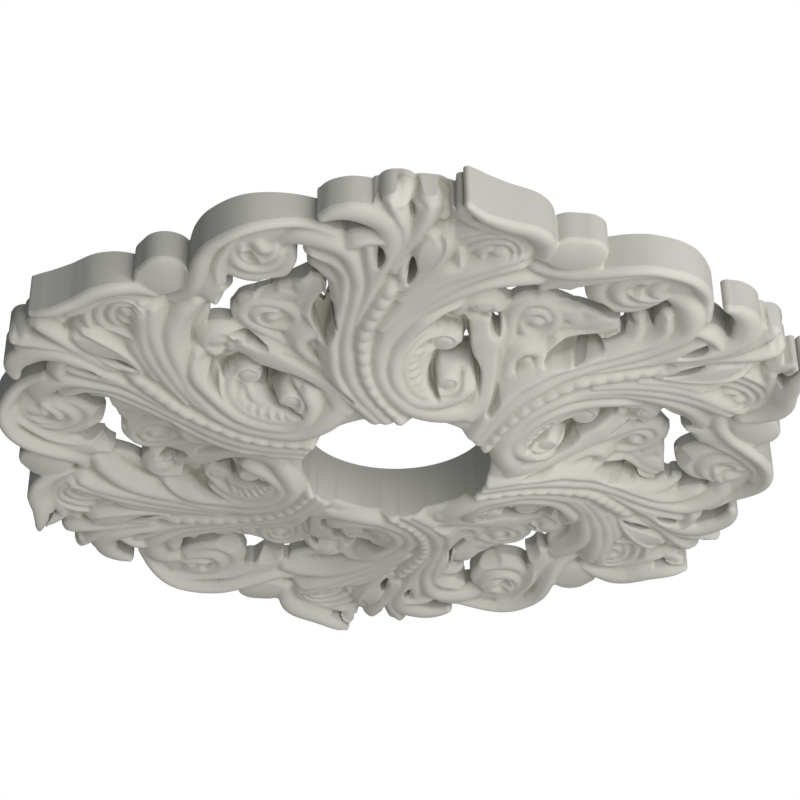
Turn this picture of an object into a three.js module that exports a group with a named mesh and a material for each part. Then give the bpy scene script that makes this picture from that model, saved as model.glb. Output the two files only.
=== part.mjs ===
// Ceiling rose: a round, pierced, moulded ornament that is fixed flat against a ceiling.
// One casting. The same acanthus scroll motif is repeated six times round a plain hole.
// Millimetres, +Z up. The flat back is the plane z = 0 and the relief hangs below it.
import * as THREE from 'three';

// ---- driving dimensions -------------------------------------------------------------
const REPEATS = 6;             // motifs round the hole
const HOLE_R = 92;             // radius of the centre hole
const OUTER_R = 404.5;         // no carving reaches past this radius
const CROWN = 0.38;            // how far the side of a strand falls, per mm of its half width
const FLANK = 1.0;             // slope of the ground beside a strand
const BODY = 6;                // width of that ground inside the leaves
const EDGE = 1.5;              // and beside the open edges
const EDGE_ROUND = 3.0;        // rounding where the face turns down into a side wall
const LOW = 6;                 // the carving is nowhere thinner than this
const GRID = 3.0;              // spacing of the sampling grid
const FACETS = 9000;           // triangles kept in the finished solid

// ---- the motif ----------------------------------------------------------------------
// Seen from below with the hole at the bottom: a runs right, b runs outward, height is
// measured from the ceiling. A strand is a rounded band along a smooth curve through a
// few stations [a, b, height, half width, tilt]. A pit is a hollow along such a curve of
// stations [a, b, floor height, half width]. A cut goes right through, [a, b, half width].
const strands = [], pits = [], cuts = [];
const strand = (ground, stations, options = {}) => strands.push({
  ground, crown: CROWN, flank: FLANK, dish: 0, beads: null, ...options, stations: stations.map((s) => [...s, 0].slice(0, 5)),
});
const pit = (slope, stations) => pits.push({ slope, stations: stations.map((s) => [...s, 0]) });
const cut = (stations) => cuts.push(stations.map(([a, b, w]) => [a, b, 0, w, 0]));

// the plain collar that joins everything round the hole
strand(EDGE, Array.from({ length: 7 }, (_, i) => {
  const t = (i - 3) * Math.PI / (3 * REPEATS);
  return [101 * Math.sin(t), 101 * Math.cos(t), 51, 10];
}), { crown: 0.25 });

// ground under the leaf, so that no crease is cut through
strand(BODY, [[-30.3, 105.4, 44.5, 16], [-30.3, 145.9, 38.7, 22], [-25.2, 186.4, 31.8, 24], [-14.1, 226.8, 27, 24], [0, 267.3, 25, 24], [12.1, 297.5, 25.5, 22], [18.2, 317.7, 25.8, 20]], { crown: 0.1 });
strand(BODY, [[-8.1, 187.9, 33, 14], [15.1, 233.3, 27.7, 14], [45.4, 263.6, 26.1, 14], [75.7, 287.4, 25.5, 14], [90.9, 307.6, 25.9, 14]], { crown: 0.1 });

// main leaf: the strands that rise from the hole and turn over to the left
strand(BODY, [[-69.4, 317.8, 28.9, 1.5], [-61.3, 313.1, 29.8, 4], [-52.2, 308.5, 30.6, 5], [-45.1, 299.8, 31.5, 5], [-41.6, 287.2, 32.2, 4.5], [-43, 268.6, 33.3, 4], [-44.5, 253.6, 34.1, 4], [-47.1, 238.5, 34.8, 4.5], [-51.1, 218.5, 36.8, 5], [-54.6, 198.5, 39.1, 5], [-55, 180, 43.1, 5], [-54, 160, 46.6, 5], [-47.9, 141.6, 51.3, 5], [-38, 121.6, 54.2, 5.5], [-27, 106.6, 56.5, 6], [-19, 94.7, 58.3, 6]], { crown: 0.45 });
strand(BODY, [[-67, 290.6, 20.6, 2], [-60.7, 287.7, 23.5, 5], [-53.5, 282.8, 26.3, 6], [-48.3, 275.9, 29.1, 5], [-47.2, 265.7, 31.3, 4], [-48.2, 250.7, 32, 3], [-50.2, 234.2, 31.7, 3], [-54.3, 214.6, 32.4, 3]]);
strand(BODY, [[-101.3, 320.7, 22.3, 3], [-92.8, 332.2, 26.1, 7], [-78.3, 339.6, 30.2, 10], [-62.1, 338.3, 32.6, 11.5], [-48.1, 331.6, 33.9, 9], [-38, 320, 34.7, 6.5], [-33.5, 300, 34.4, 5.8], [-31.5, 280, 34, 5.2], [-34, 260, 34.9, 5], [-37.5, 240, 35.9, 4.6], [-41, 220, 38, 4.8], [-43, 200, 40.4, 5.4], [-43, 181.5, 44.7, 6], [-41.5, 161.6, 48.2, 6.2], [-36.5, 141.6, 51.7, 6.5], [-27, 121.6, 54.6, 6.5], [-17, 105.6, 56.9, 6.5], [-9, 93.7, 58.7, 6.5]], { crown: 0.4 });
strand(BODY, [[-21, 330.3, 32.9, 3], [-21, 318.6, 33.7, 3.5], [-18.5, 300, 34.3, 6], [-18.5, 283, 34.1, 5.5], [-22, 265, 34.7, 3.6], [-27, 250, 35.4, 2.8], [-31, 238, 36, 2.2], [-35, 223.5, 36.5, 1.6]]);

// the rib with its beads
strand(BODY, [[-2, 277.6, 33, 6], [-6, 268, 34.6, 7.5], [-11, 256.4, 36.2, 8], [-17, 242.2, 37.5, 7.6], [-23, 227.2, 39.2, 7.2], [-28, 211.5, 40.5, 6.8], [-29.5, 196.5, 42.5, 6.5], [-29, 181.5, 45.2, 6.2], [-27.5, 161.6, 48.8, 6], [-22, 141.6, 52.1, 5.5], [-14, 123.6, 54.6, 5], [-4, 108.6, 56.7, 5], [4, 95.7, 58.5, 5.5]], { beads: [15.4, 2.2], crown: 0.42 });

// flutes that sweep round the scroll and up to the right
strand(BODY, [[122.2, 272.3, 25.5, 6], [110.7, 275.5, 28.4, 7], [95.4, 276.3, 30.3, 7], [78.2, 274.2, 32.1, 7], [60.1, 266.6, 33.3, 6.5], [42, 254.6, 34, 6.5], [22, 238.5, 34.9, 7], [5, 222, 38.2, 6.5], [-6, 203, 40.6, 6], [-13, 186.5, 44.6, 6], [-14, 161.6, 49.1, 6.3], [-8, 139.6, 52.6, 6.8], [2, 123.2, 56, 7], [15, 109.3, 57.7, 8], [31.9, 101.3, 58.3, 9], [49.9, 96.7, 56.7, 10], [64.1, 94.3, 53.6, 10]]);
strand(BODY, [[52.4, 237.8, 28.3, 2], [40.1, 235.6, 32.8, 4], [26, 226, 37.6, 5.5], [13, 208, 39.9, 5.8], [4, 190, 42.8, 5.6], [-1, 173.6, 47, 5.4], [-1, 156.6, 50.1, 5.6], [4, 139.6, 52.6, 6], [12, 125.6, 54.4, 6.3], [24, 117.6, 55.2, 6.6], [38, 116.6, 54.9, 6.8], [52, 120, 52.6, 7], [62.1, 127.4, 49.9, 7], [68.8, 134.6, 44.8, 5.8], [70.7, 138.8, 37.7, 4.8], [70.1, 142.6, 29.6, 4], [66.6, 145.1, 20.7, 3.5]]);
strand(BODY, [[104.1, 304.6, 33.7, 5], [90, 300, 34.6, 7], [72, 291, 34.3, 7], [52, 277, 34, 6.8], [34, 262, 34.8, 6.5], [17, 245, 35.7, 6.2], [3, 228, 37.5, 5.5], [-7, 212, 39.5, 4], [-13, 196, 41.6, 2.5]]);
strand(BODY, [[106.1, 316.6, 33.9, 4], [96, 312, 34.8, 5.5], [80, 303, 34.6, 6.5], [62, 295, 34.4, 6.5], [44, 284, 34.1, 6.5], [26, 268, 34.5, 6.2], [10, 250, 35.5, 5.5], [-3, 232, 37, 4], [-12, 218, 38.7, 2]]);
strand(BODY, [[60.2, 298.8, 31.5, 5], [45, 294.6, 33.3, 6], [32, 284.6, 33.1, 5.5], [18, 270.6, 33.4, 5], [6, 256.6, 34.1, 3.5]]);

// inner scroll: a broad C of bands with a row of teeth, each end rolled up into a tall knob, a channel open to the back between the knobs
strand(BODY, [[20, 172, 32, 9], [18, 152, 37, 9], [24, 134, 41, 10], [38, 124, 42, 9], [50, 128, 40, 8]], { crown: 0.05 });
strand(0.5, [[50.7, 176.5, 27.1, 2.5], [55.3, 181.6, 26.3, 2.8], [51.8, 187.7, 25.7, 3], [42.6, 191, 26.2, 3.2], [31.4, 192.7, 29.2, 3.6], [21.2, 189.4, 33.9, 4.2], [13.1, 181.9, 39.1, 4.5], [8.5, 168.9, 44, 4.5]], { crown: 0.4 });
strand(1.5, [[12.6, 180.9, 39.3, 4], [8.5, 168.9, 44, 4.5], [9, 154.6, 47.2, 4.5], [13, 141.4, 49.9, 4.5], [20, 130.4, 51.2, 4.5], [31, 125.4, 51.6, 4.5], [43.1, 124.6, 50.6, 4.5], [53.1, 128, 48.5, 4.8], [60.8, 135, 44.1, 4.8], [63.1, 141.8, 37.8, 4.5], [60, 145.7, 29.8, 3.5]], { crown: 0.4 });
strand(1, [[29, 174, 33, 2.5], [24, 167, 37.5, 3.4], [22.5, 158, 40, 3.6], [24.5, 147, 42, 3.6], [30, 136, 44, 3.6], [37, 129, 45, 3]], { crown: 0.35 });

// the two knobs, each a flat round end on a tall drum, with a turned groove
strand(2, [[43.2, 182.5, 28, 12], [44.2, 182.5, 28, 12]], { crown: 0.08, flank: 4 });
strand(11, [[46.6, 139.5, 45, 10.5], [47.2, 139.8, 45, 10.5]], { crown: 0.12, flank: 2.8 });

// the channel between the knobs, the deep hollow under the hood and the gap beside the scroll
strand(EDGE, [[62, 180, 7, 5], [61, 192, 7, 6], [57, 206, 7, 7]], { crown: 0.1 });
pit(7, [[38, 124.5, 38, 0.4], [34.8, 131.5, 29, 1.1], [33.4, 141, 23, 1.7], [33.6, 151, 20, 2.2], [38.5, 159.5, 13, 2.8], [47, 161, 6, 3.2], [57, 160.5, 4, 3.8], [66, 158, 4, 4]]);
cut([[47, 160.5, 1.5], [56, 159.5, 3], [66, 157.5, 3.2]]);
pit(6, [[10, 192, 38, 0.3], [15, 198, 33, 0.8], [21, 204, 25, 1.6], [30, 209.5, 15, 3], [41, 212, 9, 4.5], [51, 211, 7, 5.5], [60, 204, 6, 4]]);
pit(9, [[66, 158, 5, 3], [64.5, 170, 7, 1.8], [64, 182, 8, 1.6], [63, 194, 7, 2.2], [59, 204, 7, 4]]);
pit(10, [[76, 116, 44, 0.3], [76, 128, 32, 0.6], [75, 140, 18, 1.2], [72.5, 150, 9, 2], [68, 158, 5, 3]]);
pit(7, [[-58, 244, 5, 2.5], [-62, 233, 5, 5.5], [-64.5, 221, 5, 7], [-65, 210, 7, 6], [-65, 202, 12, 3.5], [-64, 195, 20, 1]]);
cut([[85.5, 204, 1.5], [89.5, 197, 3], [92, 189, 2]]);
cut([[-156, 216, 2], [-152, 217, 5], [-147, 229, 7], [-141, 241, 7.5], [-130, 246.5, 7], [-114, 252, 6], [-98, 260.5, 5], [-86, 269, 5], [-77, 276, 5], [-68, 282, 2.5]]);
cut([[-80, 276, 5], [-81, 284, 2.5]]);

// rim scroll: thin front edge, broad hollow band inside it
strand(2, [[-192, 249, 25, 5], [-181, 259.5, 28.5, 6], [-173.5, 276, 33, 5], [-168.5, 297, 36.5, 4.6], [-163, 318, 38.5, 4.2], [-155, 334, 38.5, 4], [-146, 344.3, 38.5, 3.8], [-133, 354.3, 38, 3.7], [-120, 360, 36.5, 3.7], [-108, 361.8, 34.5, 3.6], [-95.5, 361.5, 32, 3.6], [-83, 359.5, 29.5, 3.6], [-71, 355.5, 28, 3.8], [-60, 351, 29, 3.5], [-50, 346, 30, 3]], { crown: 0.35 });
strand(3, [[-152, 244.8, 22.4, 9], [-159.5, 267.2, 25.7, 9], [-157.4, 288.8, 27, 8], [-150.3, 309, 26.2, 8], [-138.2, 326.2, 25.6, 9], [-121, 337.3, 25.3, 9], [-101, 342, 24.3, 8], [-80.9, 341.7, 23.6, 7], [-62.6, 341, 24.9, 6], [-50.4, 339.6, 27.2, 6]], { crown: 0.1, flank: 0.5 });
strand(BODY, [[-152.3, 273.7, 26.7, 2], [-150.8, 298, 30, 2.5], [-143.6, 319.5, 30.1, 2.5], [-132.4, 341, 30.2, 2.5], [-118.3, 352.3, 31, 2]], { crown: 0.5 });

// the bud in the rim scroll: a dome of folded leaves
strand(2, [[-120.1, 289.9, 18.9, 24], [-113.9, 287.8, 18.8, 24]], { crown: 0.25 });
strand(2, [[-137.6, 323.1, 22.5, 4], [-142.7, 306.9, 23.3, 5], [-139.8, 289.3, 22.9, 6], [-128.7, 279.2, 22.7, 6.5], [-113.5, 276.2, 22.6, 6.5], [-99.3, 281.2, 22.6, 6], [-91.2, 293.4, 22.7, 5], [-88.2, 307.2, 21.9, 4], [-89.3, 319.1, 20.4, 3]], { crown: 0.35 });
strand(BODY, [[-134.2, 327.2, 25.6, 3.5], [-135.2, 311, 26.5, 4.5], [-130.1, 298.9, 26.9, 5.5], [-119, 292.9, 26.8, 6], [-106.9, 294.9, 26.7, 5.5], [-98.9, 305, 26.8, 5], [-95.8, 317.1, 26.9, 4]], { crown: 0.45 });
strand(BODY, [[-127, 330.5, 26.6, 3], [-126.8, 319.8, 28.3, 3.6], [-121.8, 309.7, 29, 4], [-112.7, 307.7, 28.9, 4], [-104.7, 312.8, 29, 3.6], [-99.6, 322.8, 28.7, 3], [-98.7, 328.5, 27.3, 2]], { crown: 0.5 });
strand(BODY, [[-113.7, 331.9, 27.9, 5], [-109.6, 324.2, 29.5, 5], [-103.7, 324.8, 28.5, 4]], { crown: 0.4 });
pit(1.2, [[-122.8, 315, 20.1, 1.2], [-120.8, 306.9, 20.6, 1.2]]);

// leaf buds left of the stalk
strand(EDGE, [[-78.4, 265.1, 17.3, 9], [-77.4, 252.9, 17.1, 9], [-81.7, 233.3, 14.3, 6], [-86, 216.1, 12.9, 3]], { crown: 0.2 });
strand(EDGE, [[-67.2, 264.1, 17.3, 6], [-67.2, 253.9, 17.1, 6], [-69.3, 242.3, 16.2, 4], [-73.4, 229, 16.8, 3], [-75.4, 218.2, 18.3, 3], [-71.1, 209.9, 20.9, 3.2], [-64.8, 204.2, 25.1, 3]], { crown: 0.3 });
strand(EDGE, [[-76.8, 230.4, 12.4, 5], [-63.8, 202, 9.6, 8]], { crown: 0.1 });
strand(EDGE, [[-81.7, 263.9, 14.4, 4], [-90, 254.3, 13.3, 4], [-102.4, 244.7, 12.2, 4]], { crown: 0.3 });
strand(BODY, [[-54.7, 150.9, 34.2, 3], [-58.3, 162, 29.6, 3.2], [-60.9, 175.8, 26.3, 3.5], [-64.9, 192.5, 25.3, 4], [-71, 204.7, 23.7, 4.5], [-76.2, 214, 20.6, 4]], { crown: 0.4 });

// crest: the wide hook lobe
strand(2, [[-58.1, 369.7, 31.9, 3], [-48, 375.5, 32.7, 6.5], [-34, 377.3, 33.7, 9], [-20, 372.3, 34.1, 10.5], [-8, 363.3, 34.7, 10], [-3, 349.3, 35.5, 8.5], [-3, 335.4, 35.9, 6.5], [-6, 321.4, 35.7, 5.5], [-11, 306.4, 35.4, 5], [-15, 290, 34.2, 4], [-18, 276, 34.2, 3]], { crown: 0.3 });
strand(EDGE, [[-35.5, 335.9, 22.2, 8], [-25.3, 333.9, 22.3, 6]], { crown: 0.1 });
strand(BODY, [[-2, 334.6, 33.9, 5], [-8, 341, 34.9, 4], [-19, 342, 34.8, 4.2], [-30, 339, 35, 5.5], [-37, 334.6, 34, 4]], { crown: 0.45 });
cut([[-11.5, 329.9, 2], [-11, 322.9, 3.2], [-12, 313.9, 2.8], [-14, 305.8, 0.8]]);
strand(BODY, [[-17.1, 325.5, 27.9, 2], [-17.6, 315.1, 29.7, 2.5], [-16.1, 305.8, 31.5, 2.5]]);

// crest: the narrow lobes and their leaf tips
strand(8.5, [[0, 384, 33, 4.5], [5, 384, 30, 4.5]], { crown: 0.3, flank: 2.2 });
strand(1.5, [[-3, 391, 32, 2.4], [1, 378, 32.7, 4], [5, 366, 33.4, 4], [8, 352.7, 33.2, 3.5], [8, 339.3, 32.9, 3], [4, 322.3, 32.8, 3], [-3, 302.2, 32.4, 2.5]], { crown: 0.4 });
strand(9, [[22, 378, 27, 4], [32, 376.5, 26, 4]], { crown: 0.3, flank: 2 });
strand(1.5, [[28.1, 384.1, 29.1, 3], [29, 380.7, 31.4, 4.5], [27, 371, 33.1, 5], [22, 358, 33.9, 5], [16, 344.7, 33.6, 5], [10, 331.3, 32.9, 4.5], [4, 315.2, 32.6, 4], [-1, 297.2, 32.3, 3]], { crown: 0.4 });
strand(6, [[41, 373, 22, 5], [40, 364, 25, 4]], { crown: 0.3, flank: 1.6 });
strand(BODY, [[34.4, 347.4, 22.6, 6], [38.5, 337.3, 23.2, 6], [44.5, 336.6, 24.2, 6]], { crown: 0.1 });
strand(1.5, [[31, 344.7, 33.6, 2], [30, 336, 35, 7], [29, 325.4, 35.8, 9], [27, 312.4, 35.5, 8], [22, 298, 34.3, 7], [13, 285, 34.1, 6.5], [5, 274.6, 33.2, 4]], { crown: 0.12, dish: 1 });
strand(BODY, [[43, 342.7, 33.6, 1.5], [43, 333.4, 35.9, 2.2], [38.9, 319.1, 36.2, 2.2], [32, 303.4, 35.4, 2.2], [22, 288, 34.1, 2], [12, 275.6, 33.1, 1.5]], { crown: 0.6 });
cut([[15.6, 316.5, 0.8], [15.6, 308.5, 2.6], [15.1, 298.4, 3.6], [13.1, 288.4, 2.8], [11, 280.4, 0.8]]);
strand(BODY, [[12.1, 318.5, 30.7, 1.5], [8, 309.2, 32.5, 2.4], [6, 298.6, 33.3, 2.6], [6, 286.6, 33.1, 2.4], [9, 277.6, 33, 2]], { crown: 0.5 });
strand(EDGE, [[47.6, 315, 23.9, 8], [46.4, 304, 26.6, 7], [40.3, 291.6, 28.4, 6]], { crown: 0.1 });
strand(BODY, [[53.4, 326.5, 28, 1.5], [54.8, 315.1, 29.8, 2], [55.2, 303.8, 31.5, 2]], { crown: 0.5 });

// the tip: a thin edge over a steep wall, the spiral under it and its eye
strand(1.5, [[54, 388, 33, 2.5], [56, 380, 32, 5], [58, 370, 30, 6]], { crown: 0.2 });
strand(1.5, [[59, 396.5, 41, 2, 0], [66, 389.5, 43.5, 3.8, 1], [74, 381.5, 44, 5.5, 1.5], [89.5, 369.3, 42.5, 7.6, 2], [100.5, 363.3, 41.5, 8.2, 2], [110, 357.8, 40.5, 8.6, 2], [117, 350.5, 39.5, 8.9, 2], [121.5, 343, 38, 8.8, 2], [125, 332, 35, 7.8, 1.5], [126, 322, 33, 6, 1], [125, 312, 31, 4, 0.5]], { crown: 0.38 });
strand(3, [[62.1, 364.7, 32.1, 3], [74.1, 357.7, 32.4, 4.5], [88.2, 349.3, 31.6, 5], [99.3, 340, 30.9, 5.5], [106.5, 328.6, 30.4, 6], [107.6, 315.1, 30, 6], [100.4, 307.5, 30.8, 5], [90.3, 301.8, 31.6, 4]], { crown: 0.25 });
strand(BODY, [[46.3, 336.9, 28.5, 2], [58.2, 346, 31.1, 3], [70.2, 351.3, 31.7, 3.5], [80.2, 353.3, 31.5, 3]], { crown: 0.5 });
strand(BODY, [[52.5, 323.8, 26, 2], [60.4, 334.9, 28.5, 3.5], [74.3, 342.6, 30.1, 4.5], [90.3, 344, 30.8, 4.5], [101.3, 337, 31.1, 4.5], [106.3, 326.9, 31.5, 4.5], [104.3, 315.9, 31.9, 4]], { crown: 0.45 });
strand(BODY, [[61.6, 317.7, 25.9, 2.5], [68.5, 326.5, 27.8, 3.5], [80.4, 333.7, 29.4, 4], [92.4, 333.6, 30.3, 4], [99.4, 326.6, 30.6, 3.5], [98.5, 318.2, 30, 3]], { crown: 0.5 });
strand(0.5, [[87.4, 320.5, 31, 7.5], [89.4, 321.5, 31, 7.5]], { crown: 0.5 });
strand(BODY, [[86.7, 310.4, 27.9, 2], [80.5, 306.7, 28.8, 2.5], [74.5, 310.8, 28.8, 2.8], [73.5, 318.8, 28.9, 2.8], [79.5, 323.8, 28.9, 2.4]], { crown: 0.5 });
strand(EDGE, [[67.1, 289.9, 18.6, 8], [77, 293.4, 22.7, 6], [63.1, 300.1, 18.8, 7]], { crown: 0.1 });
strand(EDGE, [[48.7, 333.3, 20.1, 8], [56.7, 344.1, 21.5, 6], [50.7, 352.2, 21.1, 5]], { crown: 0.1 });

// small round lobe beyond the tip, and the smooth hollow below it
strand(EDGE, [[147, 316, 32, 20.5], [158, 315.5, 32, 19.5]], { crown: 0.22 });
strand(EDGE, [[149.6, 286, 24.9, 16], [161.7, 286, 25, 16]], { crown: 0.1 });

// forked stem right of the inner scroll, with its buds
strand(BODY, [[66.1, 94.3, 53.5, 9], [76.3, 103.1, 49.4, 8.5], [82.5, 116.9, 45.1, 8], [83.6, 133.9, 39.9, 7.5], [82.7, 152.5, 35.8, 8], [81.8, 171.2, 31.8, 10], [79.9, 186.9, 28.9, 12], [76.1, 198.7, 24.2, 11], [69.2, 206.4, 20, 7]], { crown: 0.12 });
strand(BODY, [[94.2, 102.7, 49.1, 7], [101.7, 115.3, 42.1, 7], [104.2, 127.6, 34, 5.5], [103.6, 143.2, 28.1, 5], [102.7, 162.1, 24.7, 5], [102.8, 181, 21.4, 5], [103.9, 199.9, 18.6, 5], [107.1, 213.7, 16.9, 5], [116.2, 223.9, 16.3, 5], [130.5, 223.9, 16, 5], [140.7, 213.7, 16.2, 5], [143.8, 197.4, 16.8, 5], [139.7, 183.1, 17.5, 5], [129.5, 175.9, 18.1, 4.5], [119.3, 179, 18.4, 4.5], [114.2, 189.2, 17.8, 4.5], [114.2, 202.5, 17.3, 4.5], [121.2, 213.1, 17.7, 4.5], [131.4, 211.1, 17.6, 4.5], [134.4, 200.9, 17.9, 4]], { crown: 0.4 });
strand(0.5, [[126.2, 199.3, 19.2, 7], [127.2, 199.3, 19.2, 7]], { crown: 0.5 });
strand(BODY, [[92, 100, 51.9, 9], [102.3, 115.2, 45.7, 9], [103.8, 130.9, 38.4, 8], [104, 146, 33.7, 5], [107.2, 157.6, 30.6, 5], [116.3, 165.7, 29.2, 5], [127.5, 162.1, 27.6, 5], [134.7, 149.4, 27.2, 5], [132.9, 135.7, 27.5, 4], [123.7, 130.6, 29.1, 4], [115.6, 135.7, 29.2, 4], [114.6, 144.8, 28, 4], [120.6, 152.5, 28, 4]], { crown: 0.35 });
strand(BODY, [[114.1, 127.7, 35.3, 16], [122, 136.6, 26, 18]], { crown: 0.1 });
strand(0.5, [[119.4, 146.9, 29.7, 5.5], [120.9, 146.9, 29.6, 5.5]], { crown: 0.5 });
strand(EDGE, [[121, 207, 14, 25], [124, 206, 14, 25]], { crown: 0.1 });
strand(BODY, [[52.8, 214.5, 22, 4], [60.8, 231.6, 23.2, 4], [72.9, 238.1, 23.8, 4.5], [84.1, 234.6, 22.7, 5], [89.2, 224, 22.1, 4], [85.3, 216.5, 21.4, 3]], { crown: 0.4 });
strand(1, [[74.9, 231.5, 24.1, 9.5], [76.9, 231.5, 24.1, 9.5]], { crown: 0.3 });
pit(6, [[91, 186, 26, 0.5], [90.5, 194, 8, 2], [90, 208, 6, 2.8], [89, 218, 9, 2.2]]);
pit(2.5, [[86, 98, 46, 0.5], [91, 115, 40, 1], [93, 135, 34, 1.2], [95, 155, 28, 1.2], [94, 172, 26, 0.6]]);
strand(EDGE, [[143, 216.9, 14.1, 8], [155.3, 206.7, 14, 8], [163.5, 192.4, 14.3, 5]], { crown: 0.1 });
strand(EDGE, [[56, 246, 14, 8], [80, 253, 14, 8], [98, 256, 14, 7], [112, 262, 14, 6]], { crown: 0.1 });

// thin ground between the strands, so that only the real openings go through
strand(EDGE, [[-116, 354, 18, 4], [-98, 354.5, 16, 4.5], [-82, 353, 16, 4]], { crown: 0.1 });
strand(EDGE, [[24, 203, 9, 7], [38, 208, 8, 10.5], [50, 211, 7, 8]], { crown: 0.1 });
strand(EDGE, [[111, 295, 9, 8], [121, 304, 8, 10], [130, 318, 8, 7]], { crown: 0.1 });
strand(EDGE, [[62, 220, 8, 4], [78, 221, 8, 4]], { crown: 0.1 });
strand(EDGE, [[50, 361, 12, 5.5], [60, 360, 14, 5.5]], { crown: 0.1 });
strand(EDGE, [[13, 350, 10, 5], [14, 373, 8, 5]], { crown: 0.1 });
strand(EDGE, [[78, 363, 20, 4], [92, 356, 20, 4], [108, 345, 20, 4]], { crown: 0.1 });
strand(EDGE, [[134, 271, 9, 4], [135, 279, 9, 4]], { crown: 0.1 });
strand(EDGE, [[18, 194, 28, 3.5], [30, 186, 24, 4]], { crown: 0.1 });
strand(EDGE, [[-92, 246, 12, 4], [-88, 247, 12, 4]], { crown: 0.1 });
strand(EDGE, [[63, 111, 44, 3], [65, 113, 44, 3]], { crown: 0.1 });
strand(EDGE, [[-65, 112, 44, 3], [-64, 114, 44, 3]], { crown: 0.1 });
strand(EDGE, [[30, 357, 14, 3], [31, 362, 14, 3]], { crown: 0.1 });
strand(EDGE, [[94, 211, 9, 3], [99, 223, 10, 3]], { crown: 0.1 });
strand(EDGE, [[-148, 333, 24, 3], [-143, 340, 24, 3]], { crown: 0.1 });
strand(EDGE, [[-13, 381, 20, 3], [-13, 384, 20, 3]], { crown: 0.1 });
strand(EDGE, [[118, 316, 8, 4], [118, 328, 8, 4]], { crown: 0.1 });
strand(EDGE, [[128, 297, 9, 5], [137, 297, 9, 5]], { crown: 0.1 });
strand(EDGE, [[41, 196, 10, 4], [53, 198, 10, 5]], { crown: 0.1 });
strand(EDGE, [[36, 222, 10, 5], [48, 226, 10, 5]], { crown: 0.1 });

// the ground falls away round the openings
pit(2, [[-146, 227, 5, 5], [-144, 240, 12, 5], [-142, 264, 30, 4]]);
pit(1.3, [[-138, 243, 5, 5], [-126, 248, 10, 6], [-113, 254, 20, 6], [-100, 260, 30, 6]]);
pit(1.3, [[-104, 260, 5, 4], [-91, 266, 11, 5], [-78, 272, 21, 5], [-66, 278, 30, 4]]);
pit(1.3, [[-112, 250, 5, 5], [-125, 239, 12, 6], [-138, 228, 22, 6], [-152, 216, 33, 5]]);

// ---- curves to fields ---------------------------------------------------------------
function smooth(stations, steps) {
  const m = stations.length; let out = [];
  if (m < 3) out = stations.map((s) => [...s]);
  else {
    const end = (p, q) => p.map((v, i) => 2 * v - q[i]);
    const s = [end(stations[0], stations[1]), ...stations, end(stations[m - 1], stations[m - 2])];
    for (let i = 1; i < m; i++) {
      for (let j = 0; j < steps; j++) {
        const t = j / steps;
        out.push(s[i].map((p1, c) => {
          const p0 = s[i - 1][c], p2 = s[i + 1][c], p3 = s[i + 2][c];
          return 0.5 * (2 * p1 + (p2 - p0) * t + (2 * p0 - 5 * p1 + 4 * p2 - p3) * t * t + (3 * p1 - p0 - 3 * p2 + p3) * t * t * t);
        }));
      }
    }
    out.push([...stations[m - 1]]);
  }
  // each point also carries how far along the curve it lies
  let run = 0;
  return out.map((p, i) => { if (i) run += Math.hypot(p[0] - out[i - 1][0], p[1] - out[i - 1][1]); return [...p, run]; });
}
const turn = ([x, y, ...rest], k) => {
  const a = -k * 2 * Math.PI / REPEATS, c = Math.cos(a), s = Math.sin(a);
  return [c * x - s * y, s * x + c * y, ...rest];
};
const N = Math.ceil(OUTER_R / GRID) + 2, W = 2 * N + 1;
const height = new Float64Array(W * W).fill(-99), cover = new Float64Array(W * W).fill(-99);
const at = (i, j) => j * W + i;
// For every grid node within reach of a curve: the distance to its nearest point, and the
// height, half width, tilt, run and side found there. Done for each of the repeats.
function along(curve, reach, put) {
  for (let k = 0; k < REPEATS; k++) {
    const c = curve.map((p) => turn(p, k)), near = new Map();
    for (let u = 0; u + 1 < c.length; u++) {
      const p = c[u], q = c[u + 1], m = Math.max(p[3], q[3]) + reach;
      const i0 = Math.max(0, Math.ceil((Math.min(p[0], q[0]) - m) / GRID + N)), i1 = Math.min(W - 1, Math.floor((Math.max(p[0], q[0]) + m) / GRID + N));
      const j0 = Math.max(0, Math.ceil((Math.min(p[1], q[1]) - m) / GRID + N)), j1 = Math.min(W - 1, Math.floor((Math.max(p[1], q[1]) + m) / GRID + N));
      const dx = q[0] - p[0], dy = q[1] - p[1], l2 = Math.max(dx * dx + dy * dy, 1e-9);
      for (let j = j0; j <= j1; j++) for (let i = i0; i <= i1; i++) {
        const x = (i - N) * GRID - p[0], y = (j - N) * GRID - p[1];
        const t = Math.min(1, Math.max(0, (x * dx + y * dy) / l2)), ex = x - t * dx, ey = y - t * dy, d = Math.hypot(ex, ey);
        const n = at(i, j), was = near.get(n);
        if (!was || d < was[0]) near.set(n, [d, ...[2, 3, 4, 5].map((v) => p[v] + (q[v] - p[v]) * t), Math.sign(dx * ey - dy * ex)]);
      }
    }
    for (const [n, v] of near) put(n, ...v);
  }
}
for (const { ground, stations, crown, flank, dish, beads } of strands) {
  along(smooth(stations, 6), ground + 2 * GRID, (n, d, h, wide, tilt, run, side) => {
    const w = Math.max(wide, 0.1), t = Math.min(d / w, 1), fall = crown * Math.min(w, 12);
    if (d > w + ground + 2 * GRID) return;
    let v = h - fall * t * t + tilt * side * t - dish * (1 - t * t);
    if (beads) v += beads[1] * Math.abs(Math.sin(Math.PI * run / beads[0])) ** 0.55 * Math.min(1, Math.max(0, 1.25 - t * t));
    if (d >= w) v -= flank * (d - w);
    height[n] = Math.max(height[n], v); cover[n] = Math.max(cover[n], w + ground - d);
  });
}
for (const { slope, stations } of pits) {
  along(smooth(stations, 6), 40, (n, d, floor, w) => { height[n] = Math.min(height[n], floor + slope * Math.max(0, d - w)); });
}
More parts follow.
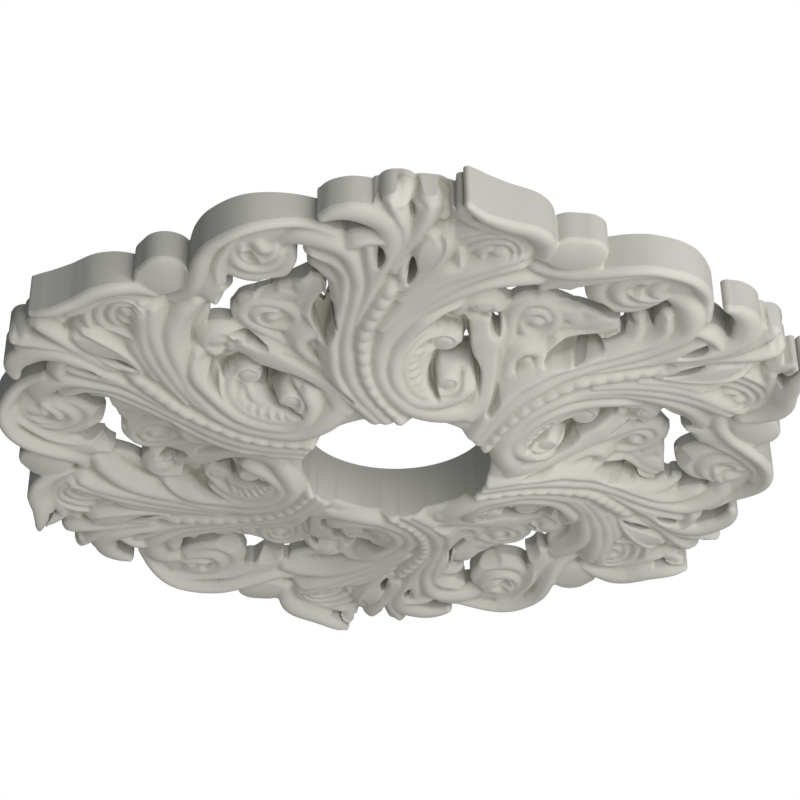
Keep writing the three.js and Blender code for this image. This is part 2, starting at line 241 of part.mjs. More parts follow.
for (const stations of cuts) {
  along(smooth(stations, 6), 12, (n, d, _, w) => { cover[n] = Math.min(cover[n], d - w); });
}
for (let j = 0; j < W; j++) for (let i = 0; i < W; i++) {
  const r = Math.hypot((i - N) * GRID, (j - N) * GRID);
  cover[at(i, j)] = Math.min(cover[at(i, j)], r - HOLE_R, OUTER_R - r);
}

// ---- a closed mesh: carved face, side walls, flat back --------------------------------
const px = [], py = [], ph = [];
const node = new Int32Array(W * W).fill(-1), snapped = new Uint8Array(W * W);
const addPoint = (x, y, h) => { px.push(x); py.push(y); ph.push(h); return px.length - 1; };
// grid nodes that lie close to the outline are moved onto it, so that no sliver is cut there
const gx = new Float64Array(W * W), gy = new Float64Array(W * W);
for (let j = 1; j < W - 1; j++) for (let i = 1; i < W - 1; i++) {
  gx[at(i, j)] = (cover[at(i + 1, j)] - cover[at(i - 1, j)]) / (2 * GRID);
  gy[at(i, j)] = (cover[at(i, j + 1)] - cover[at(i, j - 1)]) / (2 * GRID);
}
const sx = new Float64Array(W * W), sy = new Float64Array(W * W);
for (let j = 0; j < W; j++) for (let i = 0; i < W; i++) {
  const n = at(i, j); sx[n] = (i - N) * GRID; sy[n] = (j - N) * GRID;
  const f = cover[n], g2 = gx[n] ** 2 + gy[n] ** 2;
  if (Math.abs(f) < 0.3 * GRID && g2 > 0.3) {
    sx[n] -= f * gx[n] / g2; sy[n] -= f * gy[n] / g2; snapped[n] = 1; cover[n] = 0;
  }
}
const rounded = (h, f) => {
  const d = Math.min(1, Math.max(0, f / EDGE_ROUND));
  return Math.max(LOW, h - EDGE_ROUND * (1 - Math.sqrt(1 - (1 - d) ** 2)));
};
const heightAt = (n) => Math.max(LOW, height[n]);
const crossings = new Map();
function gridPoint(n) {
  if (node[n] < 0) node[n] = addPoint(sx[n], sy[n], rounded(heightAt(n), Math.max(0, cover[n])));
  return node[n];
}
function cutPoint(a, b) {
  const key = a < b ? a * W * W + b : b * W * W + a;
  if (!crossings.has(key)) {
    const t = cover[a] / (cover[a] - cover[b]);
    crossings.set(key, addPoint(sx[a] + (sx[b] - sx[a]) * t, sy[a] + (sy[b] - sy[a]) * t, rounded(heightAt(a) + (heightAt(b) - heightAt(a)) * t, 0)));
  }
  return crossings.get(key);
}
const face = [];
function clip(tri) {
  const inside = tri.map((n) => cover[n] > 0), zero = tri.map((n) => cover[n] === 0);
  if (!inside.some(Boolean)) return;
  const poly = [];
  for (let e = 0; e < 3; e++) {
    const a = tri[e], b = tri[(e + 1) % 3];
    if (inside[e] || zero[e]) poly.push(gridPoint(a));
    if ((inside[e] && !inside[(e + 1) % 3] && !zero[(e + 1) % 3]) || (!inside[e] && !zero[e] && inside[(e + 1) % 3])) poly.push(cutPoint(a, b));
  }
  for (let e = 1; e + 1 < poly.length; e++) face.push([poly[0], poly[e], poly[e + 1]]);
}
for (let j = 0; j < W - 1; j++) for (let i = 0; i < W - 1; i++) {
  const a = at(i, j), b = at(i + 1, j), c = at(i + 1, j + 1), d = at(i, j + 1);
  if ((i + j) % 2) { clip([a, b, d]); clip([b, c, d]); } else { clip([a, b, c]); clip([a, c, d]); }
}

// keep only the one connected piece
const parent = px.map((_, i) => i);
const root = (i) => { while (parent[i] !== i) { parent[i] = parent[parent[i]]; i = parent[i]; } return i; };
for (const [a, b, c] of face) { parent[root(a)] = root(b); parent[root(b)] = root(c); }
const sizes = new Map();
for (const t of face) sizes.set(root(t[0]), (sizes.get(root(t[0])) || 0) + 1);
const main = [...sizes.entries()].sort((p, q) => q[1] - p[1])[0][0];
const front = face.filter((t) => root(t[0]) === main);

// where two openings touch at a single point, that point is split between its two fans
function splitPinches(tris) {
  const around = new Map();
  tris.forEach((t, n) => t.forEach((v) => { if (!around.has(v)) around.set(v, []); around.get(v).push(n); }));
  for (const [v, list] of around) {
    const left = new Set(list), fans = [];
    while (left.size) {
      const start = left.values().next().value, fan = [start]; left.delete(start);
      for (let s = 0; s < fan.length; s++) for (const n of [...left]) {
        if (tris[n].some((p) => p !== v && tris[fan[s]].includes(p))) { fan.push(n); left.delete(n); }
      }
      fans.push(fan);
    }
    for (const fan of fans.slice(1)) {
      let mx = 0, my = 0, m = 0;
      for (const n of fan) for (const p of tris[n]) if (p !== v) { mx += px[p]; my += py[p]; m++; }
      const nv = addPoint(px[v] + (mx / m - px[v]) * 0.15, py[v] + (my / m - py[v]) * 0.15, ph[v]);
      for (const n of fan) tris[n] = tris[n].map((p) => (p === v ? nv : p));
    }
  }
}
splitPinches(front);

const used = new Map();
const X = [], Y = [], Z = [];
const top = (v) => { if (!used.has(v)) { used.set(v, X.length); X.push(px[v], px[v]); Y.push(py[v], py[v]); Z.push(ph[v], 0); } return used.get(v); };
let tris = [];
const open = new Map();
for (const [a, b, c] of front) {
  const A = top(a), B = top(b), C = top(c);
  tris.push([A, B, C], [A + 1, C + 1, B + 1]);
  for (const [p, q] of [[A, B], [B, C], [C, A]]) {
    if (open.has(q * 1e7 + p)) open.delete(q * 1e7 + p); else open.set(p * 1e7 + q, [p, q]);
  }
}
for (const [p, q] of open.values()) tris.push([p, p + 1, q + 1], [p, q + 1, q]);

// ---- fewer, larger facets: the edges that matter least to the shape are drawn in first --
function simplify(goal) {
  const nv = X.length, Q = new Float64Array(nv * 10), alive = new Uint8Array(tris.length).fill(1);
  const fan = Array.from({ length: nv }, () => []);
  tris.forEach((t, n) => t.forEach((v) => fan[v].push(n)));
  const normal = (a, b, c) => {
    const ux = X[b] - X[a], uy = Y[b] - Y[a], uz = Z[b] - Z[a], vx = X[c] - X[a], vy = Y[c] - Y[a], vz = Z[c] - Z[a];
    return [uy * vz - uz * vy, uz * vx - ux * vz, ux * vy - uy * vx];
  };
  tris.forEach(([a, b, c]) => {
    const n = normal(a, b, c), l = Math.hypot(...n); if (l < 1e-9) return;
    const [x, y, z] = n.map((v) => v / l), d = -(x * X[a] + y * Y[a] + z * Z[a]), w = l / 2;
    const q = [x * x, x * y, x * z, x * d, y * y, y * z, y * d, z * z, z * d, d * d];
    for (const v of [a, b, c]) for (let i = 0; i < 10; i++) Q[v * 10 + i] += w * q[i];
  });
  const cost = (u, v, x, y, z) => {
    const q = (i) => Q[u * 10 + i] + Q[v * 10 + i];
    return q(0) * x * x + 2 * q(1) * x * y + 2 * q(2) * x * z + 2 * q(3) * x + q(4) * y * y + 2 * q(5) * y * z + 2 * q(6) * y + q(7) * z * z + 2 * q(8) * z + q(9);
  };
  const heap = [], stamp = new Int32Array(nv), dead = new Uint8Array(nv);
  const push = (e) => { heap.push(e); let i = heap.length - 1; while (i) { const p = (i - 1) >> 1; if (heap[p][0] <= heap[i][0]) break; [heap[p], heap[i]] = [heap[i], heap[p]]; i = p; } };
  const pop = () => {
    const r = heap[0], l = heap.pop(); if (heap.length) { heap[0] = l; let i = 0; for (;;) { let s = i, a = 2 * i + 1, b = a + 1; if (a < heap.length && heap[a][0] < heap[s][0]) s = a; if (b < heap.length && heap[b][0] < heap[s][0]) s = b; if (s === i) break; [heap[s], heap[i]] = [heap[i], heap[s]]; i = s; } }
    return r;
  };
  // an edge is drawn in to whichever of its ends keeps the shape better; a face vertex never
  // moves to the back, nor the other way round
  const offer = (u, v) => {
    if ((Z[u] === 0) !== (Z[v] === 0)) return;
    const toU = cost(u, v, X[u], Y[u], Z[u]), toV = cost(u, v, X[v], Y[v], Z[v]);
    const l2 = (X[u] - X[v]) ** 2 + (Y[u] - Y[v]) ** 2 + (Z[u] - Z[v]) ** 2;
    if (toU <= toV) push([toU + 1e-4 * l2, v, u, stamp[u], stamp[v]]); else push([toV + 1e-4 * l2, u, v, stamp[v], stamp[u]]);
  };
  const seen = new Set();
  tris.forEach((t) => { for (let e = 0; e < 3; e++) { const u = t[e], v = t[(e + 1) % 3], k = u < v ? u * nv + v : v * nv + u; if (!seen.has(k)) { seen.add(k); offer(u, v); } } });
  let count = tris.length;
  while (count > goal && heap.length) {
    const [, from, to, st, sf] = pop();
    if (dead[from] || dead[to] || stamp[to] !== st || stamp[from] !== sf) continue;
    const nf = new Set(), nt = new Set(); let shared = 0;
    for (const n of fan[from]) if (alive[n]) { tris[n].forEach((v) => nf.add(v)); if (tris[n].includes(to)) shared++; }
    for (const n of fan[to]) if (alive[n]) tris[n].forEach((v) => nt.add(v));
    if (shared !== 2) continue;
    let common = 0; for (const v of nf) if (v !== from && v !== to && nt.has(v)) common++;
    if (common !== 2) continue;
    let ok = true;
    for (const n of fan[from]) {
      if (!alive[n] || tris[n].includes(to)) continue;
      const old = normal(...tris[n]), now = normal(...tris[n].map((v) => (v === from ? to : v)));
      const lo = Math.hypot(...old), ln = Math.hypot(...now);
      if (ln < 0.3 || (old[0] * now[0] + old[1] * now[1] + old[2] * now[2]) < 0.35 * lo * ln) { ok = false; break; }
      if (old[2] > 1e-3 * lo && now[2] < 0.02 * ln) { ok = false; break; }
      if (Math.abs(old[2]) <= 0.15 * lo && Math.abs(now[2]) > 0.15 * ln) { ok = false; break; }
      let longest = 0; const tt = tris[n].map((v) => (v === from ? to : v));
      for (let e = 0; e < 3; e++) longest = Math.max(longest, Math.hypot(X[tt[e]] - X[tt[(e + 1) % 3]], Y[tt[e]] - Y[tt[(e + 1) % 3]], Z[tt[e]] - Z[tt[(e + 1) % 3]]));
      if (ln / longest < 0.25) { ok = false; break; }
    }
    if (!ok) continue;
    for (const n of fan[from]) {
      if (!alive[n]) continue;
      if (tris[n].includes(to)) { alive[n] = 0; count--; } else { tris[n] = tris[n].map((v) => (v === from ? to : v)); fan[to].push(n); }
    }
    dead[from] = 1;
    for (let i = 0; i < 10; i++) Q[to * 10 + i] += Q[from * 10 + i];
    fan[to] = fan[to].filter((n) => alive[n]); stamp[to]++;
    const ring = new Set(); for (const n of fan[to]) tris[n].forEach((v) => { if (v !== to) ring.add(v); });
    for (const v of ring) offer(to, v);
  }
  tris = tris.filter((_, n) => alive[n]);
}
simplify(FACETS);

// ---- the mesh in the shared frame: b runs outward, seen from below, so y = -b, z = -h ----
const keep = new Map(), pos = [], index = [];
for (const t of tris) {
  for (const v of t) {
    if (!keep.has(v)) { keep.set(v, pos.length / 3); pos.push(X[v], -Y[v], -Z[v]); }
    index.push(keep.get(v));
  }
}
const geometry = new THREE.BufferGeometry();
geometry.setAttribute('position', new THREE.Float32BufferAttribute(pos, 3));
geometry.setIndex(index);
geometry.computeVertexNormals();

const plaster = new THREE.MeshStandardMaterial({ color: 0xc9c6bd, roughness: 0.78, metalness: 0, flatShading: true });
const rose = new THREE.Mesh(geometry, plaster);
rose.name = 'ceiling_rose';
const group = new THREE.Group();
group.name = 'ceiling_rose_assembly';
group.add(rose);
export default group;
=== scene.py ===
# The finished surface, light and camera for the ceiling rose: a round, pierced, moulded
# ornament, one acanthus motif repeated six times round a plain hole.
import bpy, math
import numpy as np
from mathutils import Matrix
from mathutils.geometry import delaunay_2d_cdt


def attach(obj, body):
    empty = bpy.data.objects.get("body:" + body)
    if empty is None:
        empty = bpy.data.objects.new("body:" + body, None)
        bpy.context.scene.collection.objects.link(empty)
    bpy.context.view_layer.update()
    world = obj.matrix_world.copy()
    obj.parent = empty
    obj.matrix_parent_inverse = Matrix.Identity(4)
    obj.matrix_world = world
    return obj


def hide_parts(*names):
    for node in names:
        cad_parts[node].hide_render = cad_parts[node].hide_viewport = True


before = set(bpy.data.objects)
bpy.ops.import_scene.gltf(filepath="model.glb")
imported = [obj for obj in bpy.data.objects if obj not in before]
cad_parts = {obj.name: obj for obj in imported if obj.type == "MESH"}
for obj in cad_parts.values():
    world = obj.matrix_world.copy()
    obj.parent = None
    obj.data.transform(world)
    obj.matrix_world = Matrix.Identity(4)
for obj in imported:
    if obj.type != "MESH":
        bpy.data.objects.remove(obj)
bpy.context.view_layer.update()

# ---- driving dimensions, in millimetres ------------------------------------------------
REPEATS = 6            # motifs round the hole
HOLE_R = 92.0          # radius of the centre hole
OUTER_R = 404.5        # no carving reaches past this radius
CROWN = 0.38           # how far the side of a strand falls, per mm of its half width
FLANK = 1.0            # slope of the ground beside a strand
BODY = 6.0             # width of that ground inside the leaves
EDGE = 1.5             # and beside the open edges
EDGE_ROUND = 2.2       # rounding where the face turns down into a side wall
LOW = 6.0              # the carving is nowhere thinner than this
STEP = 1.45    # spacing of the sampling lattice
FACES = 168000         # triangles kept in the carved face


# ---- curves ------------------------------------------------------------------------------
strands, pits, grooves, cuts = [], [], [], []


def strand(ground, *stations, crown=CROWN, flank=FLANK, dish=0.0, beads=None):
    """A band along a smooth curve through stations [a, b, height, half width, tilt]."""
    strands.append((ground, [list(s) + [0.0] * (5 - len(s)) for s in stations], crown, flank, dish, beads))


def pit(slope, *stations):
    """A hollow along a curve through stations [a, b, floor height, half width]."""
    pits.append((slope, [list(s) + [0.0] for s in stations]))


def groove(depth, *stations):
    """A line cut (or raised, when the depth is negative) through stations [a, b, half width]."""
    grooves.append((depth, [[s[0], s[1], 0.0, s[2], 0.0] for s in stations]))


def cut(*stations):
    """An opening right through, along a curve through stations [a, b, half width]."""
    cuts.append([[s[0], s[1], 0.0, s[2], 0.0] for s in stations])


def volute(c, rr, start, turns, hh, ww, squash=1.0):
    """Stations that wind inward round a centre."""
    n = max(4, round(abs(turns) * 8)); out = []
    for i in range(n + 1):
        t = i / n; ang = math.radians(start + 360 * turns * t); r = rr[0] + (rr[1] - rr[0]) * t
        out.append([c[0] + r * math.cos(ang), c[1] + squash * r * math.sin(ang), hh[0] + (hh[1] - hh[0]) * t, ww[0] + (ww[1] - ww[0]) * t])
    return out


def boss(a, b, h, r, crown=0.3):
    strand(0.5, [a - 0.5, b, h, r], [a + 0.5, b, h, r], crown=crown)


# ---- the motif --------------------------------------------------------------------------
# Seen from below with the hole at the bottom: a runs right, b runs outward, heights are
# measured from the ceiling. Millimetres throughout.

# the plain collar that joins everything round the hole
strand(EDGE, *[[101 * math.sin(t), 101 * math.cos(t), 51, 10] for t in np.radians(np.linspace(-30, 30, 7))], crown=0.25)

# ground under the leaf, so that no crease is cut through
strand(BODY, [-30.3, 105.4, 44.5, 16], [-30.3, 145.9, 38.7, 22], [-25.2, 186.4, 31.8, 24], [-14.1, 226.8, 27, 24], [0, 267.3, 25, 24], [12.1, 297.5, 25.5, 22], [18.2, 317.7, 25.8, 20], crown=0.1)
strand(BODY, [-8.1, 187.9, 33, 14], [15.1, 233.3, 27.7, 14], [45.4, 263.6, 26.1, 14], [75.7, 287.4, 25.5, 14], [90.9, 307.6, 25.9, 14], crown=0.1)

# main leaf: the strands that rise from the hole and turn over to the left
strand(BODY, [-69.4, 317.8, 28.9, 1.5], [-61.3, 313.1, 29.8, 4], [-52.2, 308.5, 30.6, 5], [-45.1, 299.8, 31.5, 5], [-41.6, 287.2, 32.2, 4.5], [-43, 268.6, 33.3, 4], [-44.5, 253.6, 34.1, 4], [-47.1, 238.5, 34.8, 4.5], [-51.1, 218.5, 36.8, 5], [-54.6, 198.5, 39.1, 5], [-55, 180, 43.1, 5], [-54, 160, 46.6, 5], [-47.9, 141.6, 51.3, 5], [-38, 121.6, 54.2, 5.5], [-27, 106.6, 56.5, 6], [-19, 94.7, 58.3, 6], crown=0.45)
strand(BODY, [-67, 290.6, 20.6, 2], [-60.7, 287.7, 23.5, 5], [-53.5, 282.8, 26.3, 6], [-48.3, 275.9, 29.1, 5], [-47.2, 265.7, 31.3, 4], [-48.2, 250.7, 32, 3], [-50.2, 234.2, 31.7, 3], [-54.3, 214.6, 32.4, 3])
strand(BODY, [-101.3, 320.7, 22.3, 3], [-92.8, 332.2, 26.1, 7], [-78.3, 339.6, 30.2, 10], [-62.1, 338.3, 32.6, 11.5], [-48.1, 331.6, 33.9, 9], [-38, 320, 34.7, 6.5], [-33.5, 300, 34.4, 5.8], [-31.5, 280, 34, 5.2], [-34, 260, 34.9, 5], [-37.5, 240, 35.9, 4.6], [-41, 220, 38, 4.8], [-43, 200, 40.4, 5.4], [-43, 181.5, 44.7, 6], [-41.5, 161.6, 48.2, 6.2], [-36.5, 141.6, 51.7, 6.5], [-27, 121.6, 54.6, 6.5], [-17, 105.6, 56.9, 6.5], [-9, 93.7, 58.7, 6.5], crown=0.4)
strand(BODY, [-21, 330.3, 32.9, 3], [-21, 318.6, 33.7, 3.5], [-18.5, 300, 34.3, 6], [-18.5, 283, 34.1, 5.5], [-22, 265, 34.7, 3.6], [-27, 250, 35.4, 2.8], [-31, 238, 36, 2.2], [-35, 223.5, 36.5, 1.6])

# the rib with its beads
strand(BODY, [-2, 277.6, 33, 6], [-6, 268, 34.6, 7.5], [-11, 256.4, 36.2, 8], [-17, 242.2, 37.5, 7.6], [-23, 227.2, 39.2, 7.2], [-28, 211.5, 40.5, 6.8], [-29.5, 196.5, 42.5, 6.5], [-29, 181.5, 45.2, 6.2], [-27.5, 161.6, 48.8, 6], [-22, 141.6, 52.1, 5.5], [-14, 123.6, 54.6, 5], [-4, 108.6, 56.7, 5], [4, 95.7, 58.5, 5.5], beads=(15.4, 2.2), crown=0.42)

# flutes that sweep round the scroll and up to the right
strand(BODY, [122.2, 272.3, 25.5, 6], [110.7, 275.5, 28.4, 7], [95.4, 276.3, 30.3, 7], [78.2, 274.2, 32.1, 7], [60.1, 266.6, 33.3, 6.5], [42, 254.6, 34, 6.5], [22, 238.5, 34.9, 7], [5, 222, 38.2, 6.5], [-6, 203, 40.6, 6], [-13, 186.5, 44.6, 6], [-14, 161.6, 49.1, 6.3], [-8, 139.6, 52.6, 6.8], [2, 123.2, 56, 7], [15, 109.3, 57.7, 8], [31.9, 101.3, 58.3, 9], [49.9, 96.7, 56.7, 10], [64.1, 94.3, 53.6, 10])
strand(BODY, [52.4, 237.8, 28.3, 2], [40.1, 235.6, 32.8, 4], [26, 226, 37.6, 5.5], [13, 208, 39.9, 5.8], [4, 190, 42.8, 5.6], [-1, 173.6, 47, 5.4], [-1, 156.6, 50.1, 5.6], [4, 139.6, 52.6, 6], [12, 125.6, 54.4, 6.3], [24, 117.6, 55.2, 6.6], [38, 116.6, 54.9, 6.8], [52, 120, 52.6, 7], [62.1, 127.4, 49.9, 7], [68.8, 134.6, 44.8, 5.8], [70.7, 138.8, 37.7, 4.8], [70.1, 142.6, 29.6, 4], [66.6, 145.1, 20.7, 3.5])
strand(BODY, [104.1, 304.6, 33.7, 5], [90, 300, 34.6, 7], [72, 291, 34.3, 7], [52, 277, 34, 6.8], [34, 262, 34.8, 6.5], [17, 245, 35.7, 6.2], [3, 228, 37.5, 5.5], [-7, 212, 39.5, 4], [-13, 196, 41.6, 2.5])
strand(BODY, [106.1, 316.6, 33.9, 4], [96, 312, 34.8, 5.5], [80, 303, 34.6, 6.5], [62, 295, 34.4, 6.5], [44, 284, 34.1, 6.5], [26, 268, 34.5, 6.2], [10, 250, 35.5, 5.5], [-3, 232, 37, 4], [-12, 218, 38.7, 2])
strand(BODY, [60.2, 298.8, 31.5, 5], [45, 294.6, 33.3, 6], [32, 284.6, 33.1, 5.5], [18, 270.6, 33.4, 5], [6, 256.6, 34.1, 3.5])

# inner scroll: a broad C of bands with a row of teeth, each end rolled up into a tall knob, a channel open to the back between the knobs
strand(BODY, [20, 172, 32, 9], [18, 152, 37, 9], [24, 134, 41, 10], [38, 124, 42, 9], [50, 128, 40, 8], crown=0.05)
strand(0.5, [50.7, 176.5, 27.1, 2.5], [55.3, 181.6, 26.3, 2.8], [51.8, 187.7, 25.7, 3], [42.6, 191, 26.2, 3.2], [31.4, 192.7, 29.2, 3.6], [21.2, 189.4, 33.9, 4.2], [13.1, 181.9, 39.1, 4.5], [8.5, 168.9, 44, 4.5], crown=0.4)
strand(1.5, [12.6, 180.9, 39.3, 4], [8.5, 168.9, 44, 4.5], [9, 154.6, 47.2, 4.5], [13, 141.4, 49.9, 4.5], [20, 130.4, 51.2, 4.5], [31, 125.4, 51.6, 4.5], [43.1, 124.6, 50.6, 4.5], [53.1, 128, 48.5, 4.8], [60.8, 135, 44.1, 4.8], [63.1, 141.8, 37.8, 4.5], [60, 145.7, 29.8, 3.5], crown=0.4)
strand(1, [29, 174, 33, 2.5], [24, 167, 37.5, 3.4], [22.5, 158, 40, 3.6], [24.5, 147, 42, 3.6], [30, 136, 44, 3.6], [37, 129, 45, 3], crown=0.35)
strand(0, [15.1, 180.3, 38.1, 1.7], [19.1, 177.7, 37.9, 1.7], crown=0.5)
strand(0, [11.5, 173.5, 41.6, 1.7], [15.6, 172, 41.3, 1.7], crown=0.5)
strand(0, [11, 164.4, 44.5, 1.7], [15, 164.1, 44, 1.7], crown=0.5)
strand(0, [12.5, 154.6, 46.8, 1.7], [16.5, 155.1, 46.1, 1.7], crown=0.5)
strand(0, [15.7, 144.5, 48.7, 1.7], [19.3, 145.8, 48, 1.7], crown=0.5)
strand(0, [20.6, 135.5, 49.8, 1.7], [23.5, 137.7, 49, 1.7], crown=0.5)
strand(0, [28.2, 129.6, 50.4, 1.7], [29.9, 132.6, 49.5, 1.7], crown=0.5)

# the two knobs, each a flat round end on a tall drum, with a turned groove
strand(2, [43.2, 182.5, 28, 12], [44.2, 182.5, 28, 12], crown=0.08, flank=4)
groove(2.6, [35, 178, 0.5], [35, 184, 1.5], [38.5, 189.5, 1.8], [44.5, 191, 1.8], [50.5, 188, 1.6], [52, 182, 1.3], [49.5, 176, 0.4])
strand(11, [46.6, 139.5, 45, 10.5], [47.2, 139.8, 45, 10.5], crown=0.12, flank=2.8)
groove(3.4, [38, 128, 0.4], [43, 126, 1.5], [50, 126.3, 2], [57, 131, 2.3], [60, 139, 2.3], [58.5, 147, 1.8], [54, 152, 0.4])
groove(1.5, [42, 138, 0.4], [43, 133.5, 1.3], [48, 131.8, 1.4], [53, 135, 1.4], [54, 141, 1.4], [50.5, 145.5, 1.2], [45.5, 145, 0.4])

# the channel between the knobs, the deep hollow under the hood and the gap beside the scroll
strand(EDGE, [62, 180, 7, 5], [61, 192, 7, 6], [57, 206, 7, 7], crown=0.1)
pit(7, [38, 124.5, 38, 0.4], [34.8, 131.5, 29, 1.1], [33.4, 141, 23, 1.7], [33.6, 151, 20, 2.2], [38.5, 159.5, 13, 2.8], [47, 161, 6, 3.2], [57, 160.5, 4, 3.8], [66, 158, 4, 4])
cut([47, 160.5, 1.5], [56, 159.5, 3], [66, 157.5, 3.2])
pit(6, [10, 192, 38, 0.3], [15, 198, 33, 0.8], [21, 204, 25, 1.6], [30, 209.5, 15, 3], [41, 212, 9, 4.5], [51, 211, 7, 5.5], [60, 204, 6, 4])
pit(9, [66, 158, 5, 3], [64.5, 170, 7, 1.8], [64, 182, 8, 1.6], [63, 194, 7, 2.2], [59, 204, 7, 4])
pit(10, [76, 116, 44, 0.3], [76, 128, 32, 0.6], [75, 140, 18, 1.2], [72.5, 150, 9, 2], [68, 158, 5, 3])
pit(7, [-58, 244, 5, 2.5], [-62, 233, 5, 5.5], [-64.5, 221, 5, 7], [-65, 210, 7, 6], [-65, 202, 12, 3.5], [-64, 195, 20, 1])
cut([-58, 236, 1], [-55, 228, 2.5], [-53, 218, 1.5])
cut([85.5, 204, 1.5], [89.5, 197, 3], [92, 189, 2])
cut([-156, 216, 2], [-152, 217, 5], [-147, 229, 7], [-141, 241, 7.5], [-130, 246.5, 7], [-114, 252, 6], [-98, 260.5, 5], [-86, 269, 5], [-77, 276, 5], [-68, 282, 2.5])
cut([-80, 276, 5], [-81, 284, 2.5])

# rim scroll: thin front edge, broad hollow band inside it
strand(2, [-192, 249, 25, 5], [-181, 259.5, 28.5, 6], [-173.5, 276, 33, 5], [-168.5, 297, 36.5, 4.6], [-163, 318, 38.5, 4.2], [-155, 334, 38.5, 4], [-146, 344.3, 38.5, 3.8], [-133, 354.3, 38, 3.7], [-120, 360, 36.5, 3.7], [-108, 361.8, 34.5, 3.6], [-95.5, 361.5, 32, 3.6], [-83, 359.5, 29.5, 3.6], [-71, 355.5, 28, 3.8], [-60, 351, 29, 3.5], [-50, 346, 30, 3], crown=0.35)
strand(3, [-152, 244.8, 22.4, 9], [-159.5, 267.2, 25.7, 9], [-157.4, 288.8, 27, 8], [-150.3, 309, 26.2, 8], [-138.2, 326.2, 25.6, 9], [-121, 337.3, 25.3, 9], [-101, 342, 24.3, 8], [-80.9, 341.7, 23.6, 7], [-62.6, 341, 24.9, 6], [-50.4, 339.6, 27.2, 6], crown=0.1, flank=0.5)
strand(BODY, [-152.3, 273.7, 26.7, 2], [-150.8, 298, 30, 2.5], [-143.6, 319.5, 30.1, 2.5], [-132.4, 341, 30.2, 2.5], [-118.3, 352.3, 31, 2], crown=0.5)

# the bud in the rim scroll: a dome of folded leaves
strand(2, [-120.1, 289.9, 18.9, 24], [-113.9, 287.8, 18.8, 24], crown=0.25)
strand(2, [-137.6, 323.1, 22.5, 4], [-142.7, 306.9, 23.3, 5], [-139.8, 289.3, 22.9, 6], [-128.7, 279.2, 22.7, 6.5], [-113.5, 276.2, 22.6, 6.5], [-99.3, 281.2, 22.6, 6], [-91.2, 293.4, 22.7, 5], [-88.2, 307.2, 21.9, 4], [-89.3, 319.1, 20.4, 3], crown=0.35)
strand(BODY, [-134.2, 327.2, 25.6, 3.5], [-135.2, 311, 26.5, 4.5], [-130.1, 298.9, 26.9, 5.5], [-119, 292.9, 26.8, 6], [-106.9, 294.9, 26.7, 5.5], [-98.9, 305, 26.8, 5], [-95.8, 317.1, 26.9, 4], crown=0.45)
strand(BODY, [-127, 330.5, 26.6, 3], [-126.8, 319.8, 28.3, 3.6], [-121.8, 309.7, 29, 4], [-112.7, 307.7, 28.9, 4], [-104.7, 312.8, 29, 3.6], [-99.6, 322.8, 28.7, 3], [-98.7, 328.5, 27.3, 2], crown=0.5)
strand(BODY, [-113.7, 331.9, 27.9, 5], [-109.6, 324.2, 29.5, 5], [-103.7, 324.8, 28.5, 4], crown=0.4)
pit(1.2, [-122.8, 315, 20.1, 1.2], [-120.8, 306.9, 20.6, 1.2])

# leaf buds left of the stalk
strand(EDGE, [-78.4, 265.1, 17.3, 9], [-77.4, 252.9, 17.1, 9], [-81.7, 233.3, 14.3, 6], [-86, 216.1, 12.9, 3], crown=0.2)
strand(EDGE, [-67.2, 264.1, 17.3, 6], [-67.2, 253.9, 17.1, 6], [-69.3, 242.3, 16.2, 4], [-73.4, 229, 16.8, 3], [-75.4, 218.2, 18.3, 3], [-71.1, 209.9, 20.9, 3.2], [-64.8, 204.2, 25.1, 3], crown=0.3)
strand(EDGE, [-76.8, 230.4, 12.4, 5], [-63.8, 202, 9.6, 8], crown=0.1)
strand(EDGE, [-81.7, 263.9, 14.4, 4], [-90, 254.3, 13.3, 4], [-102.4, 244.7, 12.2, 4], crown=0.3)
strand(BODY, [-54.7, 150.9, 34.2, 3], [-58.3, 162, 29.6, 3.2], [-60.9, 175.8, 26.3, 3.5], [-64.9, 192.5, 25.3, 4], [-71, 204.7, 23.7, 4.5], [-76.2, 214, 20.6, 4], crown=0.4)

# crest: the wide hook lobe
strand(2, [-58.1, 369.7, 31.9, 3], [-48, 375.5, 32.7, 6.5], [-34, 377.3, 33.7, 9], [-20, 372.3, 34.1, 10.5], [-8, 363.3, 34.7, 10], [-3, 349.3, 35.5, 8.5], [-3, 335.4, 35.9, 6.5], [-6, 321.4, 35.7, 5.5], [-11, 306.4, 35.4, 5], [-15, 290, 34.2, 4], [-18, 276, 34.2, 3], crown=0.3)
strand(EDGE, [-35.5, 335.9, 22.2, 8], [-25.3, 333.9, 22.3, 6], crown=0.1)
strand(BODY, [-2, 334.6, 33.9, 5], [-8, 341, 34.9, 4], [-19, 342, 34.8, 4.2], [-30, 339, 35, 5.5], [-37, 334.6, 34, 4], crown=0.45)
cut([-11.5, 329.9, 2], [-11, 322.9, 3.2], [-12, 313.9, 2.8], [-14, 305.8, 0.8])
strand(BODY, [-17.1, 325.5, 27.9, 2], [-17.6, 315.1, 29.7, 2.5], [-16.1, 305.8, 31.5, 2.5])

